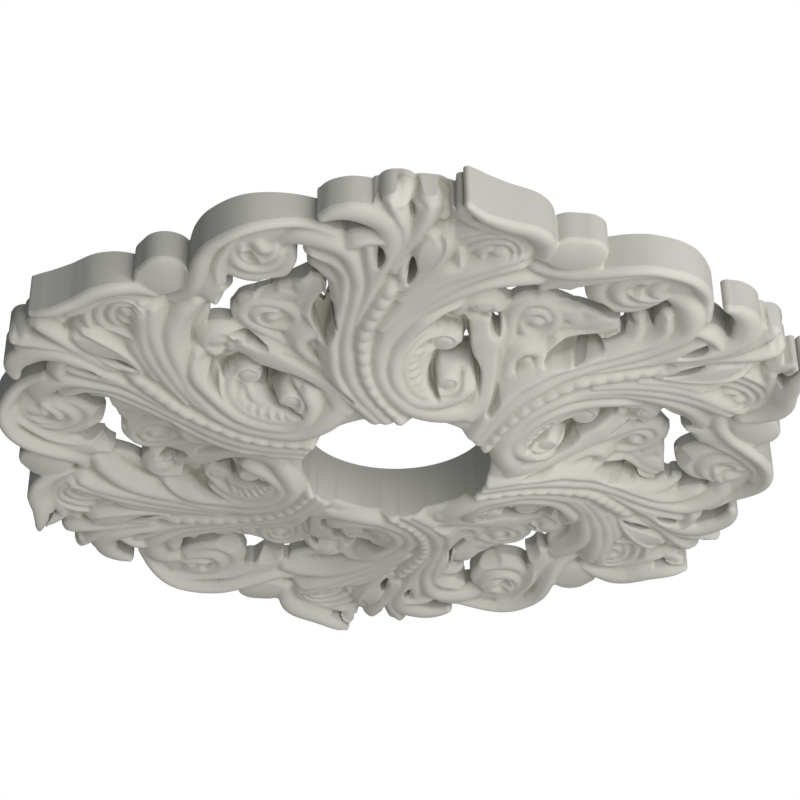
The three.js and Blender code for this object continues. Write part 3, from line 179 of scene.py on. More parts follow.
# crest: the narrow lobes and their leaf tips
strand(8.5, [0, 384, 33, 4.5], [5, 384, 30, 4.5], crown=0.3, flank=2.2)
strand(1.5, [-3, 391, 32, 2.4], [1, 378, 32.7, 4], [5, 366, 33.4, 4], [8, 352.7, 33.2, 3.5], [8, 339.3, 32.9, 3], [4, 322.3, 32.8, 3], [-3, 302.2, 32.4, 2.5], crown=0.4)
strand(9, [22, 378, 27, 4], [32, 376.5, 26, 4], crown=0.3, flank=2.0)
groove(3, [16.2, 377.5, 1.5], [15.6, 373.6, 3], [15.1, 366.1, 2.5], [15.1, 359.4, 0.6])
strand(1.5, [28.1, 384.1, 29.1, 3], [29, 380.7, 31.4, 4.5], [27, 371, 33.1, 5], [22, 358, 33.9, 5], [16, 344.7, 33.6, 5], [10, 331.3, 32.9, 4.5], [4, 315.2, 32.6, 4], [-1, 297.2, 32.3, 3], crown=0.4)
strand(6, [41, 373, 22, 5], [40, 364, 25, 4], crown=0.3, flank=1.6)
strand(BODY, [34.4, 347.4, 22.6, 6], [38.5, 337.3, 23.2, 6], [44.5, 336.6, 24.2, 6], crown=0.1)
strand(1.5, [31, 344.7, 33.6, 2], [30, 336, 35, 7], [29, 325.4, 35.8, 9], [27, 312.4, 35.5, 8], [22, 298, 34.3, 7], [13, 285, 34.1, 6.5], [5, 274.6, 33.2, 4], crown=0.12, dish=1.0)
strand(BODY, [43, 342.7, 33.6, 1.5], [43, 333.4, 35.9, 2.2], [38.9, 319.1, 36.2, 2.2], [32, 303.4, 35.4, 2.2], [22, 288, 34.1, 2], [12, 275.6, 33.1, 1.5], crown=0.6)
cut([15.6, 316.5, 0.8], [15.6, 308.5, 2.6], [15.1, 298.4, 3.6], [13.1, 288.4, 2.8], [11, 280.4, 0.8])
strand(BODY, [12.1, 318.5, 30.7, 1.5], [8, 309.2, 32.5, 2.4], [6, 298.6, 33.3, 2.6], [6, 286.6, 33.1, 2.4], [9, 277.6, 33, 2], crown=0.5)
strand(EDGE, [47.6, 315, 23.9, 8], [46.4, 304, 26.6, 7], [40.3, 291.6, 28.4, 6], crown=0.1)
strand(BODY, [53.4, 326.5, 28, 1.5], [54.8, 315.1, 29.8, 2], [55.2, 303.8, 31.5, 2], crown=0.5)

# the tip: a thin edge over a steep wall, the spiral under it and its eye
strand(1.5, [54, 388, 33, 2.5], [56, 380, 32, 5], [58, 370, 30, 6], crown=0.2)
strand(1.5, [59, 396.5, 41, 2, 0], [66, 389.5, 43.5, 3.8, 1], [74, 381.5, 44, 5.5, 1.5], [89.5, 369.3, 42.5, 7.6, 2], [100.5, 363.3, 41.5, 8.2, 2], [110, 357.8, 40.5, 8.6, 2], [117, 350.5, 39.5, 8.9, 2], [121.5, 343, 38, 8.8, 2], [125, 332, 35, 7.8, 1.5], [126, 322, 33, 6, 1], [125, 312, 31, 4, 0.5], crown=0.38)
strand(3, [62.1, 364.7, 32.1, 3], [74.1, 357.7, 32.4, 4.5], [88.2, 349.3, 31.6, 5], [99.3, 340, 30.9, 5.5], [106.5, 328.6, 30.4, 6], [107.6, 315.1, 30, 6], [100.4, 307.5, 30.8, 5], [90.3, 301.8, 31.6, 4], crown=0.25)
strand(BODY, [46.3, 336.9, 28.5, 2], [58.2, 346, 31.1, 3], [70.2, 351.3, 31.7, 3.5], [80.2, 353.3, 31.5, 3], crown=0.5)
strand(BODY, [52.5, 323.8, 26, 2], [60.4, 334.9, 28.5, 3.5], [74.3, 342.6, 30.1, 4.5], [90.3, 344, 30.8, 4.5], [101.3, 337, 31.1, 4.5], [106.3, 326.9, 31.5, 4.5], [104.3, 315.9, 31.9, 4], crown=0.45)
strand(BODY, [61.6, 317.7, 25.9, 2.5], [68.5, 326.5, 27.8, 3.5], [80.4, 333.7, 29.4, 4], [92.4, 333.6, 30.3, 4], [99.4, 326.6, 30.6, 3.5], [98.5, 318.2, 30, 3], crown=0.5)
strand(0.5, [87.4, 320.5, 31, 7.5], [89.4, 321.5, 31, 7.5], crown=0.5)
groove(1.8, [50.3, 335.3, 0.5], [60.3, 341.6, 1.6], [75.2, 347.5, 2], [91.3, 347, 2], [103.4, 337.6, 2], [108.5, 325.6, 2], [105.6, 313.1, 1.6], [98.5, 305.1, 0.5])
groove(1.8, [60.4, 324.8, 0.5], [68.4, 334.2, 1.6], [80.4, 337.8, 2], [93.4, 337.6, 2], [101.4, 329.6, 2], [101.5, 318.2, 1.6], [95.5, 311.1, 0.5])
groove(2.2, [93.4, 325.6, 0.6], [96.4, 322.5, 1.8], [95.4, 316.5, 1.6], [89.4, 313.5, 0.5])
strand(BODY, [86.7, 310.4, 27.9, 2], [80.5, 306.7, 28.8, 2.5], [74.5, 310.8, 28.8, 2.8], [73.5, 318.8, 28.9, 2.8], [79.5, 323.8, 28.9, 2.4], crown=0.5)
strand(EDGE, [67.1, 289.9, 18.6, 8], [77, 293.4, 22.7, 6], [63.1, 300.1, 18.8, 7], crown=0.1)
strand(EDGE, [48.7, 333.3, 20.1, 8], [56.7, 344.1, 21.5, 6], [50.7, 352.2, 21.1, 5], crown=0.1)

# small round lobe beyond the tip, and the smooth hollow below it
strand(EDGE, [147, 316, 32, 20.5], [158, 315.5, 32, 19.5], crown=0.22)
strand(EDGE, [149.6, 286, 24.9, 16], [161.7, 286, 25, 16], crown=0.1)

# forked stem right of the inner scroll, with its buds
strand(BODY, [66.1, 94.3, 53.5, 9], [76.3, 103.1, 49.4, 8.5], [82.5, 116.9, 45.1, 8], [83.6, 133.9, 39.9, 7.5], [82.7, 152.5, 35.8, 8], [81.8, 171.2, 31.8, 10], [79.9, 186.9, 28.9, 12], [76.1, 198.7, 24.2, 11], [69.2, 206.4, 20, 7], crown=0.12)
strand(BODY, [94.2, 102.7, 49.1, 7], [101.7, 115.3, 42.1, 7], [104.2, 127.6, 34, 5.5], [103.6, 143.2, 28.1, 5], [102.7, 162.1, 24.7, 5], [102.8, 181, 21.4, 5], [103.9, 199.9, 18.6, 5], [107.1, 213.7, 16.9, 5], [116.2, 223.9, 16.3, 5], [130.5, 223.9, 16, 5], [140.7, 213.7, 16.2, 5], [143.8, 197.4, 16.8, 5], [139.7, 183.1, 17.5, 5], [129.5, 175.9, 18.1, 4.5], [119.3, 179, 18.4, 4.5], [114.2, 189.2, 17.8, 4.5], [114.2, 202.5, 17.3, 4.5], [121.2, 213.1, 17.7, 4.5], [131.4, 211.1, 17.6, 4.5], [134.4, 200.9, 17.9, 4], crown=0.4)
strand(0.5, [126.2, 199.3, 19.2, 7], [127.2, 199.3, 19.2, 7], crown=0.5)
strand(BODY, [92, 100, 51.9, 9], [102.3, 115.2, 45.7, 9], [103.8, 130.9, 38.4, 8], [104, 146, 33.7, 5], [107.2, 157.6, 30.6, 5], [116.3, 165.7, 29.2, 5], [127.5, 162.1, 27.6, 5], [134.7, 149.4, 27.2, 5], [132.9, 135.7, 27.5, 4], [123.7, 130.6, 29.1, 4], [115.6, 135.7, 29.2, 4], [114.6, 144.8, 28, 4], [120.6, 152.5, 28, 4], crown=0.35)
strand(BODY, [114.1, 127.7, 35.3, 16], [122, 136.6, 26, 18], crown=0.1)
strand(0.5, [119.4, 146.9, 29.7, 5.5], [120.9, 146.9, 29.6, 5.5], crown=0.5)
groove(2.6, [111.4, 138.2, 0.5], [109.3, 147.9, 1.7], [112.8, 155.5, 1.7], [120.6, 156.5, 1.5], [126.6, 152, 1.3], [127.8, 142.8, 0.5])
groove(2.6, [119.3, 187.2, 0.5], [115.1, 196.3, 1.7], [117.1, 205.5, 1.9], [125.3, 209.1, 1.7], [132.9, 204, 1.5], [134.1, 194.3, 0.5])
strand(EDGE, [121, 207, 14, 25], [124, 206, 14, 25], crown=0.1)
strand(BODY, [52.8, 214.5, 22, 4], [60.8, 231.6, 23.2, 4], [72.9, 238.1, 23.8, 4.5], [84.1, 234.6, 22.7, 5], [89.2, 224, 22.1, 4], [85.3, 216.5, 21.4, 3], crown=0.4)
strand(1, [74.9, 231.5, 24.1, 9.5], [76.9, 231.5, 24.1, 9.5], crown=0.3)
groove(2, [63.8, 237.1, 0.5], [65.8, 228, 1.6], [72.9, 221.4, 1.8], [82.1, 221, 1.5], [87.3, 226.7, 0.5])
groove(1.6, [70.8, 237.1, 0.4], [69.8, 231, 1.4], [73.9, 227.5, 1.3], [78.9, 228.5, 0.4])
pit(6, [91, 186, 26, 0.5], [90.5, 194, 8, 2], [90, 208, 6, 2.8], [89, 218, 9, 2.2])
pit(2.5, [86, 98, 46, 0.5], [91, 115, 40, 1], [93, 135, 34, 1.2], [95, 155, 28, 1.2], [94, 172, 26, 0.6])
strand(EDGE, [143, 216.9, 14.1, 8], [155.3, 206.7, 14, 8], [163.5, 192.4, 14.3, 5], crown=0.1)
strand(EDGE, [56, 246, 14, 8], [80, 253, 14, 8], [98, 256, 14, 7], [112, 262, 14, 6], crown=0.1)

# thin ground between the strands, so that only the real openings go through
strand(EDGE, [-116, 354, 18, 4], [-98, 354.5, 16, 4.5], [-82, 353, 16, 4], crown=0.1)
strand(EDGE, [24, 203, 9, 7], [38, 208, 8, 10.5], [50, 211, 7, 8], crown=0.1)
strand(EDGE, [111, 295, 9, 8], [121, 304, 8, 10], [130, 318, 8, 7], crown=0.1)
strand(EDGE, [62, 220, 8, 4], [78, 221, 8, 4], crown=0.1)
strand(EDGE, [50, 361, 12, 5.5], [60, 360, 14, 5.5], crown=0.1)
strand(EDGE, [13, 350, 10, 5], [14, 373, 8, 5], crown=0.1)
strand(EDGE, [78, 363, 20, 4], [92, 356, 20, 4], [108, 345, 20, 4], crown=0.1)
strand(EDGE, [134, 271, 9, 4], [135, 279, 9, 4], crown=0.1)
strand(EDGE, [18, 194, 28, 3.5], [30, 186, 24, 4], crown=0.1)
strand(EDGE, [-92, 246, 12, 4], [-88, 247, 12, 4], crown=0.1)
strand(EDGE, [63, 111, 44, 3], [65, 113, 44, 3], crown=0.1)
strand(EDGE, [-65, 112, 44, 3], [-64, 114, 44, 3], crown=0.1)
strand(EDGE, [30, 357, 14, 3], [31, 362, 14, 3], crown=0.1)
strand(EDGE, [94, 211, 9, 3], [99, 223, 10, 3], crown=0.1)
strand(EDGE, [-148, 333, 24, 3], [-143, 340, 24, 3], crown=0.1)
strand(EDGE, [-13, 381, 20, 3], [-13, 384, 20, 3], crown=0.1)
strand(EDGE, [118, 316, 8, 4], [118, 328, 8, 4], crown=0.1)
strand(EDGE, [128, 297, 9, 5], [137, 297, 9, 5], crown=0.1)
strand(EDGE, [41, 196, 10, 4], [53, 198, 10, 5], crown=0.1)
strand(EDGE, [36, 222, 10, 5], [48, 226, 10, 5], crown=0.1)

# the ground falls away round the openings
pit(2, [-146, 227, 5, 5], [-144, 240, 12, 5], [-142, 264, 30, 4])
pit(1.3, [-138, 243, 5, 5], [-126, 248, 10, 6], [-113, 254, 20, 6], [-100, 260, 30, 6])
pit(1.3, [-104, 260, 5, 4], [-91, 266, 11, 5], [-78, 272, 21, 5], [-66, 278, 30, 4])
pit(1.3, [-112, 250, 5, 5], [-125, 239, 12, 6], [-138, 228, 22, 6], [-152, 216, 33, 5])

# ---- curves to a height field over one sixth, on a lattice of equal triangles --------------
def smooth(stations, n):
    p = np.array(stations, float); k = len(p)
    if k > 2:
        q = np.vstack([2 * p[0] - p[1], p, 2 * p[-1] - p[-2]]); t = (np.arange(n) / n)[:, None]; out = []
        for i in range(1, k):
            p0, p1, p2, p3 = q[i - 1], q[i], q[i + 1], q[i + 2]
            out.append(0.5 * (2 * p1 + (p2 - p0) * t + (2 * p0 - 5 * p1 + 4 * p2 - p3) * t ** 2 + (3 * p1 - p0 - 3 * p2 + p3) * t ** 3))
        p = np.vstack(out + [p[-1:]])
    run = np.concatenate([[0], np.cumsum(np.hypot(*(p[1:, :2] - p[:-1, :2]).T))])
    return np.column_stack([p, run])


ROOT3 = math.sqrt(3)
M = int(OUTER_R / STEP * 2 / ROOT3) + 3          # lattice rows in the sector
mi, ni = np.meshgrid(np.arange(-2, M), np.arange(-2, M), indexing="ij")
PA = STEP * (mi - ni) / 2.0
PB = STEP * (mi + ni) * ROOT3 / 2.0


def nearest(curve, reach):
    """Distance to the curve and the values carried there, for every lattice point in reach."""
    shape = PA.shape
    D = np.full(shape, 1e9); V = np.zeros(shape + (5,))       # height, half width, tilt, run, side
    for k in (-1, 0, 1):
        ang = k * 2 * math.pi / REPEATS; c, s = math.cos(ang), math.sin(ang)
        x = c * curve[:, 0] - s * curve[:, 1]; y = s * curve[:, 0] + c * curve[:, 1]
        for u in range(len(curve) - 1):
            x0, y0, x1, y1 = x[u], y[u], x[u + 1], y[u + 1]
            r = max(curve[u, 3], curve[u + 1, 3]) + reach
            lox, hix, loy, hiy = min(x0, x1) - r, max(x0, x1) + r, min(y0, y1) - r, max(y0, y1) + r
            if hiy < -2 * STEP or hiy < -abs(lox): continue
            # m - n = 2x/step, m + n = 2y/(step root3)
            su, du = 2 * loy / (STEP * ROOT3), 2 * lox / STEP; sv, dv = 2 * hiy / (STEP * ROOT3), 2 * hix / STEP
            i0 = max(0, int(math.floor((su + du) / 2)) + 2); i1 = min(shape[0], int(math.ceil((sv + dv) / 2)) + 3)
            j0 = max(0, int(math.floor((su - dv) / 2)) + 2); j1 = min(shape[1], int(math.ceil((sv - du) / 2)) + 3)
            if i1 <= i0 or j1 <= j0: continue
            px = PA[i0:i1, j0:j1] - x0; py = PB[i0:i1, j0:j1] - y0; dx, dy = x1 - x0, y1 - y0
            t = np.clip((px * dx + py * dy) / max(dx * dx + dy * dy, 1e-9), 0, 1)
            ex, ey = px - t * dx, py - t * dy; d = np.hypot(ex, ey)
            new = d < D[i0:i1, j0:j1]
            if not new.any(): continue
            D[i0:i1, j0:j1][new] = d[new]; tn = t[new][:, None]
            vals = curve[u, 2:6] + tn * (curve[u + 1, 2:6] - curve[u, 2:6])
            side = np.sign(dx * ey - dy * ex)[new][:, None]
            V[i0:i1, j0:j1][new] = np.hstack([vals, side])
    return D, V


def sector():
    H = np.full(PA.shape, -99.0); F = np.full(PA.shape, -99.0)
    for ground, stations, crown, flank, dish, beads in strands:
        D, V = nearest(smooth(stations, 8), ground + 3 * STEP)
        ok = D < 1e8; d = D[ok]; h, w, tilt, run, side = V[ok].T
        w = np.maximum(w, 0.1); t = np.minimum(d / w, 1.0); fall = crown * np.minimum(w, 12)
        v = h - fall * t ** 2 + tilt * side * t - dish * (1 - t ** 2)
        if beads:
            pitch, up = beads
            v += up * (np.abs(np.sin(math.pi * run / pitch)) ** 0.55) * np.clip(1.25 - t ** 2, 0, 1)
        v = np.where(d < w, v, v - flank * (d - w)); v = np.where(d < w + ground + 3 * STEP, v, -99)
        H[ok] = np.maximum(H[ok], v); F[ok] = np.maximum(F[ok], w + ground - d)
    for slope, stations in pits:
        D, V = nearest(smooth(stations, 8), 40.0)
        ok = D < 1e8; H[ok] = np.minimum(H[ok], V[ok][:, 0] + slope * np.maximum(0, D[ok] - V[ok][:, 1]))
    G = np.zeros(PA.shape)
    for depth, stations in grooves:
        D, V = nearest(smooth(stations, 8), 1.0)
        ok = D < 1e8; w = np.maximum(V[ok][:, 1], 0.05); full = max(s[3] for s in stations)
        v = depth * (w / full) * (1 - np.minimum(D[ok] / w, 1) ** 2) ** 1.5
        G[ok] = np.where(np.abs(v) > np.abs(G[ok]), v, G[ok])
    H -= G
    for stations in cuts:
        D, V = nearest(smooth(stations, 8), 12.0)
        ok = D < 1e8; F[ok] = np.minimum(F[ok], D[ok] - V[ok][:, 1])
    return H, F


def whole(S):
    """The sector turned six times round the centre, on the full lattice (q, r)."""
    n = M - 1; full = np.full((2 * n + 1, 2 * n + 1), -99.0)
    m_, n_ = np.meshgrid(np.arange(1, n + 1), np.arange(0, n + 1), indexing="ij")
    keep = m_ + n_ <= n; m_, n_ = m_[keep], n_[keep]; v = S[m_ + 2, n_ + 2]
    q, r = -n_, m_ + n_
    for k in range(6):
        full[q + n, r + n] = v
        q, r = -r, q + r
    return full


H6, F6 = sector()
H, F = whole(H6), whole(F6)
NN = M - 1
qi, ri = np.meshgrid(np.arange(-NN, NN + 1), np.arange(-NN, NN + 1), indexing="ij")
A = STEP * (qi + ri / 2.0); B = STEP * ri * ROOT3 / 2.0
rad = np.hypot(A, B)
F = np.minimum(F, np.minimum(rad - HOLE_R, OUTER_R - rad))


def blur(Z, W, times):
    """Softens Z where W is 1, over the six neighbours, without reaching across the outline."""
    for _ in range(times):
        num = Z * W * 6; den = W * 6.0
        for dq, dr in ((1, 0), (-1, 0), (0, 1), (0, -1), (1, -1), (-1, 1)):
            s = np.roll(Z * W, (dq, dr), (0, 1)); w = np.roll(W, (dq, dr), (0, 1)); num = num + s; den = den + w
        Z = np.where(W > 0, num / np.maximum(den, 1e-9), Z)
    return Z


H = np.maximum(H, LOW)
inside = (F > -2.5 * STEP).astype(float)
H = blur(H, inside, 1)
broad = blur(H, inside, 24)


def slope_of(Z):
    gx = (np.roll(Z, -1, 0) - np.roll(Z, 1, 0)) / (2 * STEP)
    g2 = (np.roll(Z, -1, 1) - np.roll(Z, 1, 1)) / (2 * STEP)
    return gx, (g2 - gx / 2) * 2 / ROOT3


# nodes that lie close to the outline are moved onto it, so that no sliver is cut there
gx, gy = slope_of(F); g2 = gx ** 2 + gy ** 2
snap = (np.abs(F) < 0.3 * STEP) & (g2 > 0.3)
A[snap] -= (F * gx / np.maximum(g2, 1e-9))[snap]; B[snap] -= (F * gy / np.maximum(g2, 1e-9))[snap]
F[snap] = 0.0


def rounded(h, f):
    d = np.clip(f / EDGE_ROUND, 0, 1)
    return np.maximum(LOW, h - EDGE_ROUND * (1 - np.sqrt(1 - (1 - d) ** 2)))


# ---- the carved face ------------------------------------------------------------------------
size = F.shape[1]
ids = np.arange(F.size).reshape(F.shape)
a, b, c, d = ids[:-1, :-1].ravel(), ids[1:, :-1].ravel(), ids[:-1, 1:].ravel(), ids[1:, 1:].ravel()
T = np.vstack([np.column_stack([a, b, c]), np.column_stack([b, d, c])])
f = F.ravel()
sgn = np.where(f > 0, 1, np.where(f == 0, 0, -1)); st = sgn[T]
T = T[(st == 1).any(1)]; st = sgn[T]
outs = (st == -1).sum(1)
full = T[outs == 0]
edge_key, tris = [], [full]
cutters = []


def key(u, v):
    return -(np.minimum(u, v).astype(np.int64) * F.size + np.maximum(u, v)) - 1


for shift in range(3):
    R = np.roll(T, -shift, 1); rs = sgn[R]
    m1 = (outs == 1) & (rs[:, 2] == -1) & (rs[:, 0] == 1) & (rs[:, 1] == 1); t = R[m1]
    k1, k2 = key(t[:, 1], t[:, 2]), key(t[:, 0], t[:, 2])
    cutters += [np.column_stack([t[:, 0], t[:, 1], k1]), np.column_stack([t[:, 0], k1, k2])]
    m2 = (outs == 1) & (rs[:, 2] == -1) & (rs[:, 0] == 0) & (rs[:, 1] == 1); t = R[m2]
    cutters.append(np.column_stack([t[:, 0], t[:, 1], key(t[:, 1], t[:, 2])]))
    m3 = (outs == 1) & (rs[:, 2] == -1) & (rs[:, 0] == 1) & (rs[:, 1] == 0); t = R[m3]
    cutters.append(np.column_stack([t[:, 0], t[:, 1], key(t[:, 0], t[:, 2])]))
    m4 = (outs == 2) & (rs[:, 0] == 1); t = R[m4]
    cutters.append(np.column_stack([t[:, 0], key(t[:, 0], t[:, 1]), key(t[:, 0], t[:, 2])]))
tri = np.vstack([full.astype(np.int64)] + cutters)
names, tri = np.unique(tri, return_inverse=True); tri = tri.reshape(-1, 3)
cutm = names < 0
k = -(names[cutm] + 1); u, v = k // F.size, k % F.size
t = f[u] / (f[u] - f[v])
ax, bx, hx, cav = A.ravel(), B.ravel(), H.ravel(), (broad - H).ravel()
P = np.zeros((len(names), 4)); g = names[~cutm]
P[~cutm] = np.column_stack([ax[g], bx[g], rounded(hx[g], np.maximum(f[g], 0)), cav[g]])
P[cutm] = np.column_stack([ax[u] + (ax[v] - ax[u]) * t, bx[u] + (bx[v] - bx[u]) * t, rounded(hx[u] + (hx[v] - hx[u]) * t, 0 * t), cav[u] + (cav[v] - cav[u]) * t])


def pieces(tri, count):
    """A label for each connected part, by passing the smallest label round until it settles."""
    lab = np.arange(count)
    while True:
        low = lab[tri].min(1); new = lab.copy()
        for i in range(3): np.minimum.at(new, tri[:, i], low)
        new = new[new]
        if (new == lab).all(): return lab
        lab = new


lab = pieces(tri, len(P))
big = np.bincount(lab[tri[:, 0]]).argmax(); tri = tri[lab[tri[:, 0]] == big]


def tidy(P, tri):
    used, tri = np.unique(tri, return_inverse=True)
    return P[used], tri.reshape(-1, 3)


def rim(tri):
    """Directed edges that only one triangle has."""
    e = np.vstack([tri[:, [0, 1]], tri[:, [1, 2]], tri[:, [2, 0]]]); n = tri.max() + 1
    k = e[:, 0] * n + e[:, 1]; rev = e[:, 1] * n + e[:, 0]
    return e[~np.isin(k, rev)]


def unpinch(P, tri):
    """Where two openings touch at one point, that point is split between its fans."""
    e = rim(tri); out, n = np.unique(e[:, 0], return_counts=True)
    for v in out[n > 1]:
        rows = np.nonzero((tri == v).any(1))[0]; left = set(rows.tolist()); fans = []
        while left:
            fan = [left.pop()]
            for s in fan:
                for n2 in list(left):
                    if len(set(tri[s]) & set(tri[n2])) > 1: fan.append(n2); left.discard(n2)
            fans.append(fan)
        for fan in fans[1:]:
            mid = P[tri[fan].ravel()].mean(0); P = np.vstack([P, P[v] + (mid - P[v]) * 0.15]); new = len(P) - 1
            for r in fan: tri[r][tri[r] == v] = new
    return P, tri


P, tri = tidy(P, tri); P, tri = unpinch(P, tri)
print("carved face", len(tri), "triangles")


def to_mesh(name, P, tri):
    me = bpy.data.meshes.new(name)
    co = np.column_stack([P[:, 0], -P[:, 1], -P[:, 2]]) / 1000.0
    me.vertices.add(len(co)); me.vertices.foreach_set("co", co.ravel())
    me.loops.add(tri.size); me.polygons.add(len(tri))
    me.loops.foreach_set("vertex_index", tri.ravel().astype(np.int32))
    me.polygons.foreach_set("loop_start", np.arange(0, tri.size, 3, dtype=np.int32))
    me.update(calc_edges=True)
    return me


if len(tri) > FACES:
    me = to_mesh("face", P, tri)
    ob = bpy.data.objects.new("face", me); bpy.context.collection.objects.link(ob)
    layer = me.attributes.new("cavity", "FLOAT", "POINT"); layer.data.foreach_set("value", P[:, 3].astype(np.float32))
    group = ob.vertex_groups.new(name="inner"); edge = np.zeros(len(P), bool); edge[rim(tri).ravel()] = True
    group.add(np.nonzero(~edge)[0].tolist(), 1.0, "REPLACE")
    mod = ob.modifiers.new("fewer", "DECIMATE"); mod.ratio = FACES / len(tri); mod.vertex_group = "inner"; mod.vertex_group_factor = 1000.0
    mod.use_collapse_triangulate = True
    ev = ob.evaluated_get(bpy.context.evaluated_depsgraph_get()); em = ev.to_mesh()
    co = np.zeros(len(em.vertices) * 3); em.vertices.foreach_get("co", co); co = co.reshape(-1, 3) * 1000
    cv = np.zeros(len(em.vertices)); em.attributes["cavity"].data.foreach_get("value", cv)
    tr = np.zeros(len(em.loops), np.int32); em.loops.foreach_get("vertex_index", tr)
    P = np.column_stack([co[:, 0], -co[:, 1], -co[:, 2], cv]); tri = tr.reshape(-1, 3).astype(np.int64)
    bpy.data.objects.remove(ob); bpy.data.meshes.remove(me)
    P, tri = tidy(P, tri); P, tri = unpinch(P, tri)
    print("kept", len(tri), "triangles")

# ---- side walls and the flat back ------------------------------------------------------------
e = rim(tri)
on, inv = np.unique(e, return_inverse=True); inv = inv.reshape(-1, 2)
base = len(P)
bottom = P[on].copy(); bottom[:, 2] = 0.0
walls = np.vstack([np.column_stack([e[:, 0], base + inv[:, 0], base + inv[:, 1]]), np.column_stack([e[:, 0], base + inv[:, 1], e[:, 1]])])
vs, es, fs, ov, oe, of_ = delaunay_2d_cdt([tuple(p) for p in bottom[:, :2].tolist()], inv.tolist(), [], 0, 1e-6, True)
back = np.array(fs); vx = np.array([tuple(v) for v in vs])
orig = np.array([o[0] if len(o) else -1 for o in ov])
print("back", len(back), "new points", int((orig < 0).sum()), "merged", int(sum(len(o) > 1 for o in ov)))
# triangles between the outline's edges are kept, those in the openings are not
wall_pairs = {(int(p), int(q)) for p, q in inv}
pairs = {}
for n, t3 in enumerate(back):
    for i in range(3): pairs.setdefault((min(t3[i], t3[(i + 1) % 3]), max(t3[i], t3[(i + 1) % 3])), []).append(n)
state = np.zeros(len(back), int)
for (p, q), ns in pairs.items():
    P0, Q0 = int(orig[p]), int(orig[q])
    if (P0, Q0) in wall_pairs or (Q0, P0) in wall_pairs:
        s_, t_ = (p, q) if (P0, Q0) in wall_pairs else (q, p)
        for n in ns:
            o_ = [x for x in back[n] if x != p and x != q][0]
            left = (vx[t_][0] - vx[s_][0]) * (vx[o_][1] - vx[s_][1]) - (vx[t_][1] - vx[s_][1]) * (vx[o_][0] - vx[s_][0])
            state[n] = 1 if left > 0 else -1
spread = [n for n in range(len(back)) if state[n]]
for n in spread:
    t3 = back[n]
    for i in range(3):
        p, q = min(t3[i], t3[(i + 1) % 3]), max(t3[i], t3[(i + 1) % 3]); P0, Q0 = int(orig[p]), int(orig[q])
        if (P0, Q0) in wall_pairs or (Q0, P0) in wall_pairs: continue
        for m_ in pairs[(p, q)]:
            if not state[m_]: state[m_] = state[n]; spread.append(m_)
back = orig[back[state == 1]]
area = np.cross(bottom[back[:, 1], :2] - bottom[back[:, 0], :2], bottom[back[:, 2], :2] - bottom[back[:, 0], :2])
back[area > 0] = back[area > 0][:, ::-1]
allp = np.vstack([P, bottom]); alltri = np.vstack([tri, walls, back + base])
kind = np.concatenate([np.zeros(len(tri)), np.ones(len(walls)), np.full(len(back), 2)]).astype(np.int32)
print("closed", len(rim(alltri)) == 0, "triangles", len(alltri), "walls", len(walls), "back", len(back))

me = to_mesh("rose_casting", allp, alltri)
rose = bpy.data.objects.new("rose_casting", me); bpy.context.collection.objects.link(rose)
# cavity: how far each point lies below the softened surface, positive in creases and negative on ridges; the material
# paints shade and lightening from it
layer = me.attributes.new("cavity", "FLOAT", "POINT")
cavity = np.clip(allp[:, 3] / 7.0, -1, 1); cavity[base:] = 0
layer.data.foreach_set("value", cavity.astype(np.float32))
me.polygons.foreach_set("use_smooth", np.ones(len(alltri), bool))
# the arris between the carved face and a side wall, and round the back, stays crisp
at = {}
ev_ = np.zeros(len(me.edges) * 2, np.int32); me.edges.foreach_get("vertices", ev_); ev_ = ev_.reshape(-1, 2)
lo, hi = ev_.min(1).astype(np.int64), ev_.max(1).astype(np.int64)
ek = lo * len(allp) + hi
rimk = np.minimum(e[:, 0], e[:, 1]) * len(allp) + np.maximum(e[:, 0], e[:, 1])
b0, b1 = base + inv[:, 0], base + inv[:, 1]
backk = np.minimum(b0, b1) * len(allp) + np.maximum(b0, b1)
sharp = np.isin(ek, np.concatenate([rimk, backk]))
att = me.attributes.new("sharp_edge", "BOOLEAN", "EDGE"); att.data.foreach_set("value", sharp)
me.update()
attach(rose, "root"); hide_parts("ceiling_rose")

# ---- material: primed, moulded foam, matt, with painted shade in the hollows and lighter ridges ---
mat = bpy.data.materials.new("rose_primer"); mat.use_nodes = True
nt = mat.node_tree; nt.nodes.clear()
out = nt.nodes.new("ShaderNodeOutputMaterial"); bsdf = nt.nodes.new("ShaderNodeBsdfPrincipled")
nt.links.new(bsdf.outputs[0], out.inputs[0])
geo = nt.nodes.new("ShaderNodeTexCoord")
n1 = nt.nodes.new("ShaderNodeTexNoise"); n1.inputs["Scale"].default_value = 9.0; n1.inputs["Detail"].default_value = 4.0
n2 = nt.nodes.new("ShaderNodeTexNoise"); n2.inputs["Scale"].default_value = 650.0; n2.inputs["Detail"].default_value = 3.0
for n in (n1, n2): nt.links.new(geo.outputs["Object"], n.inputs["Vector"])
tone = nt.nodes.new("ShaderNodeValToRGB")
tone.color_ramp.elements[0].position = 0.35; tone.color_ramp.elements[0].color = (0.560, 0.550, 0.508, 1)
tone.color_ramp.elements[1].position = 0.65; tone.color_ramp.elements[1].color = (0.600, 0.590, 0.545, 1)
nt.links.new(n1.outputs["Fac"], tone.inputs[0])
# painted shade: where the surface lies below its blurred self, in creases and hollows, the colour is mixed towards a
# dark warm grey
cavn = nt.nodes.new("ShaderNodeAttribute"); cavn.attribute_name = "cavity"
cr = nt.nodes.new("ShaderNodeMapRange"); cr.inputs["From Min"].default_value = 0.02; cr.inputs["From Max"].default_value = 0.48
cr.inputs["To Min"].default_value = 0.0; cr.inputs["To Max"].default_value = 0.74
nt.links.new(cavn.outputs["Fac"], cr.inputs["Value"])
mix = nt.nodes.new("ShaderNodeMix"); mix.data_type = "RGBA"
nt.links.new(cr.outputs[0], mix.inputs["Factor"]); nt.links.new(tone.outputs[0], mix.inputs["A"]); mix.inputs["B"].default_value = (0.34, 0.32, 0.26, 1)
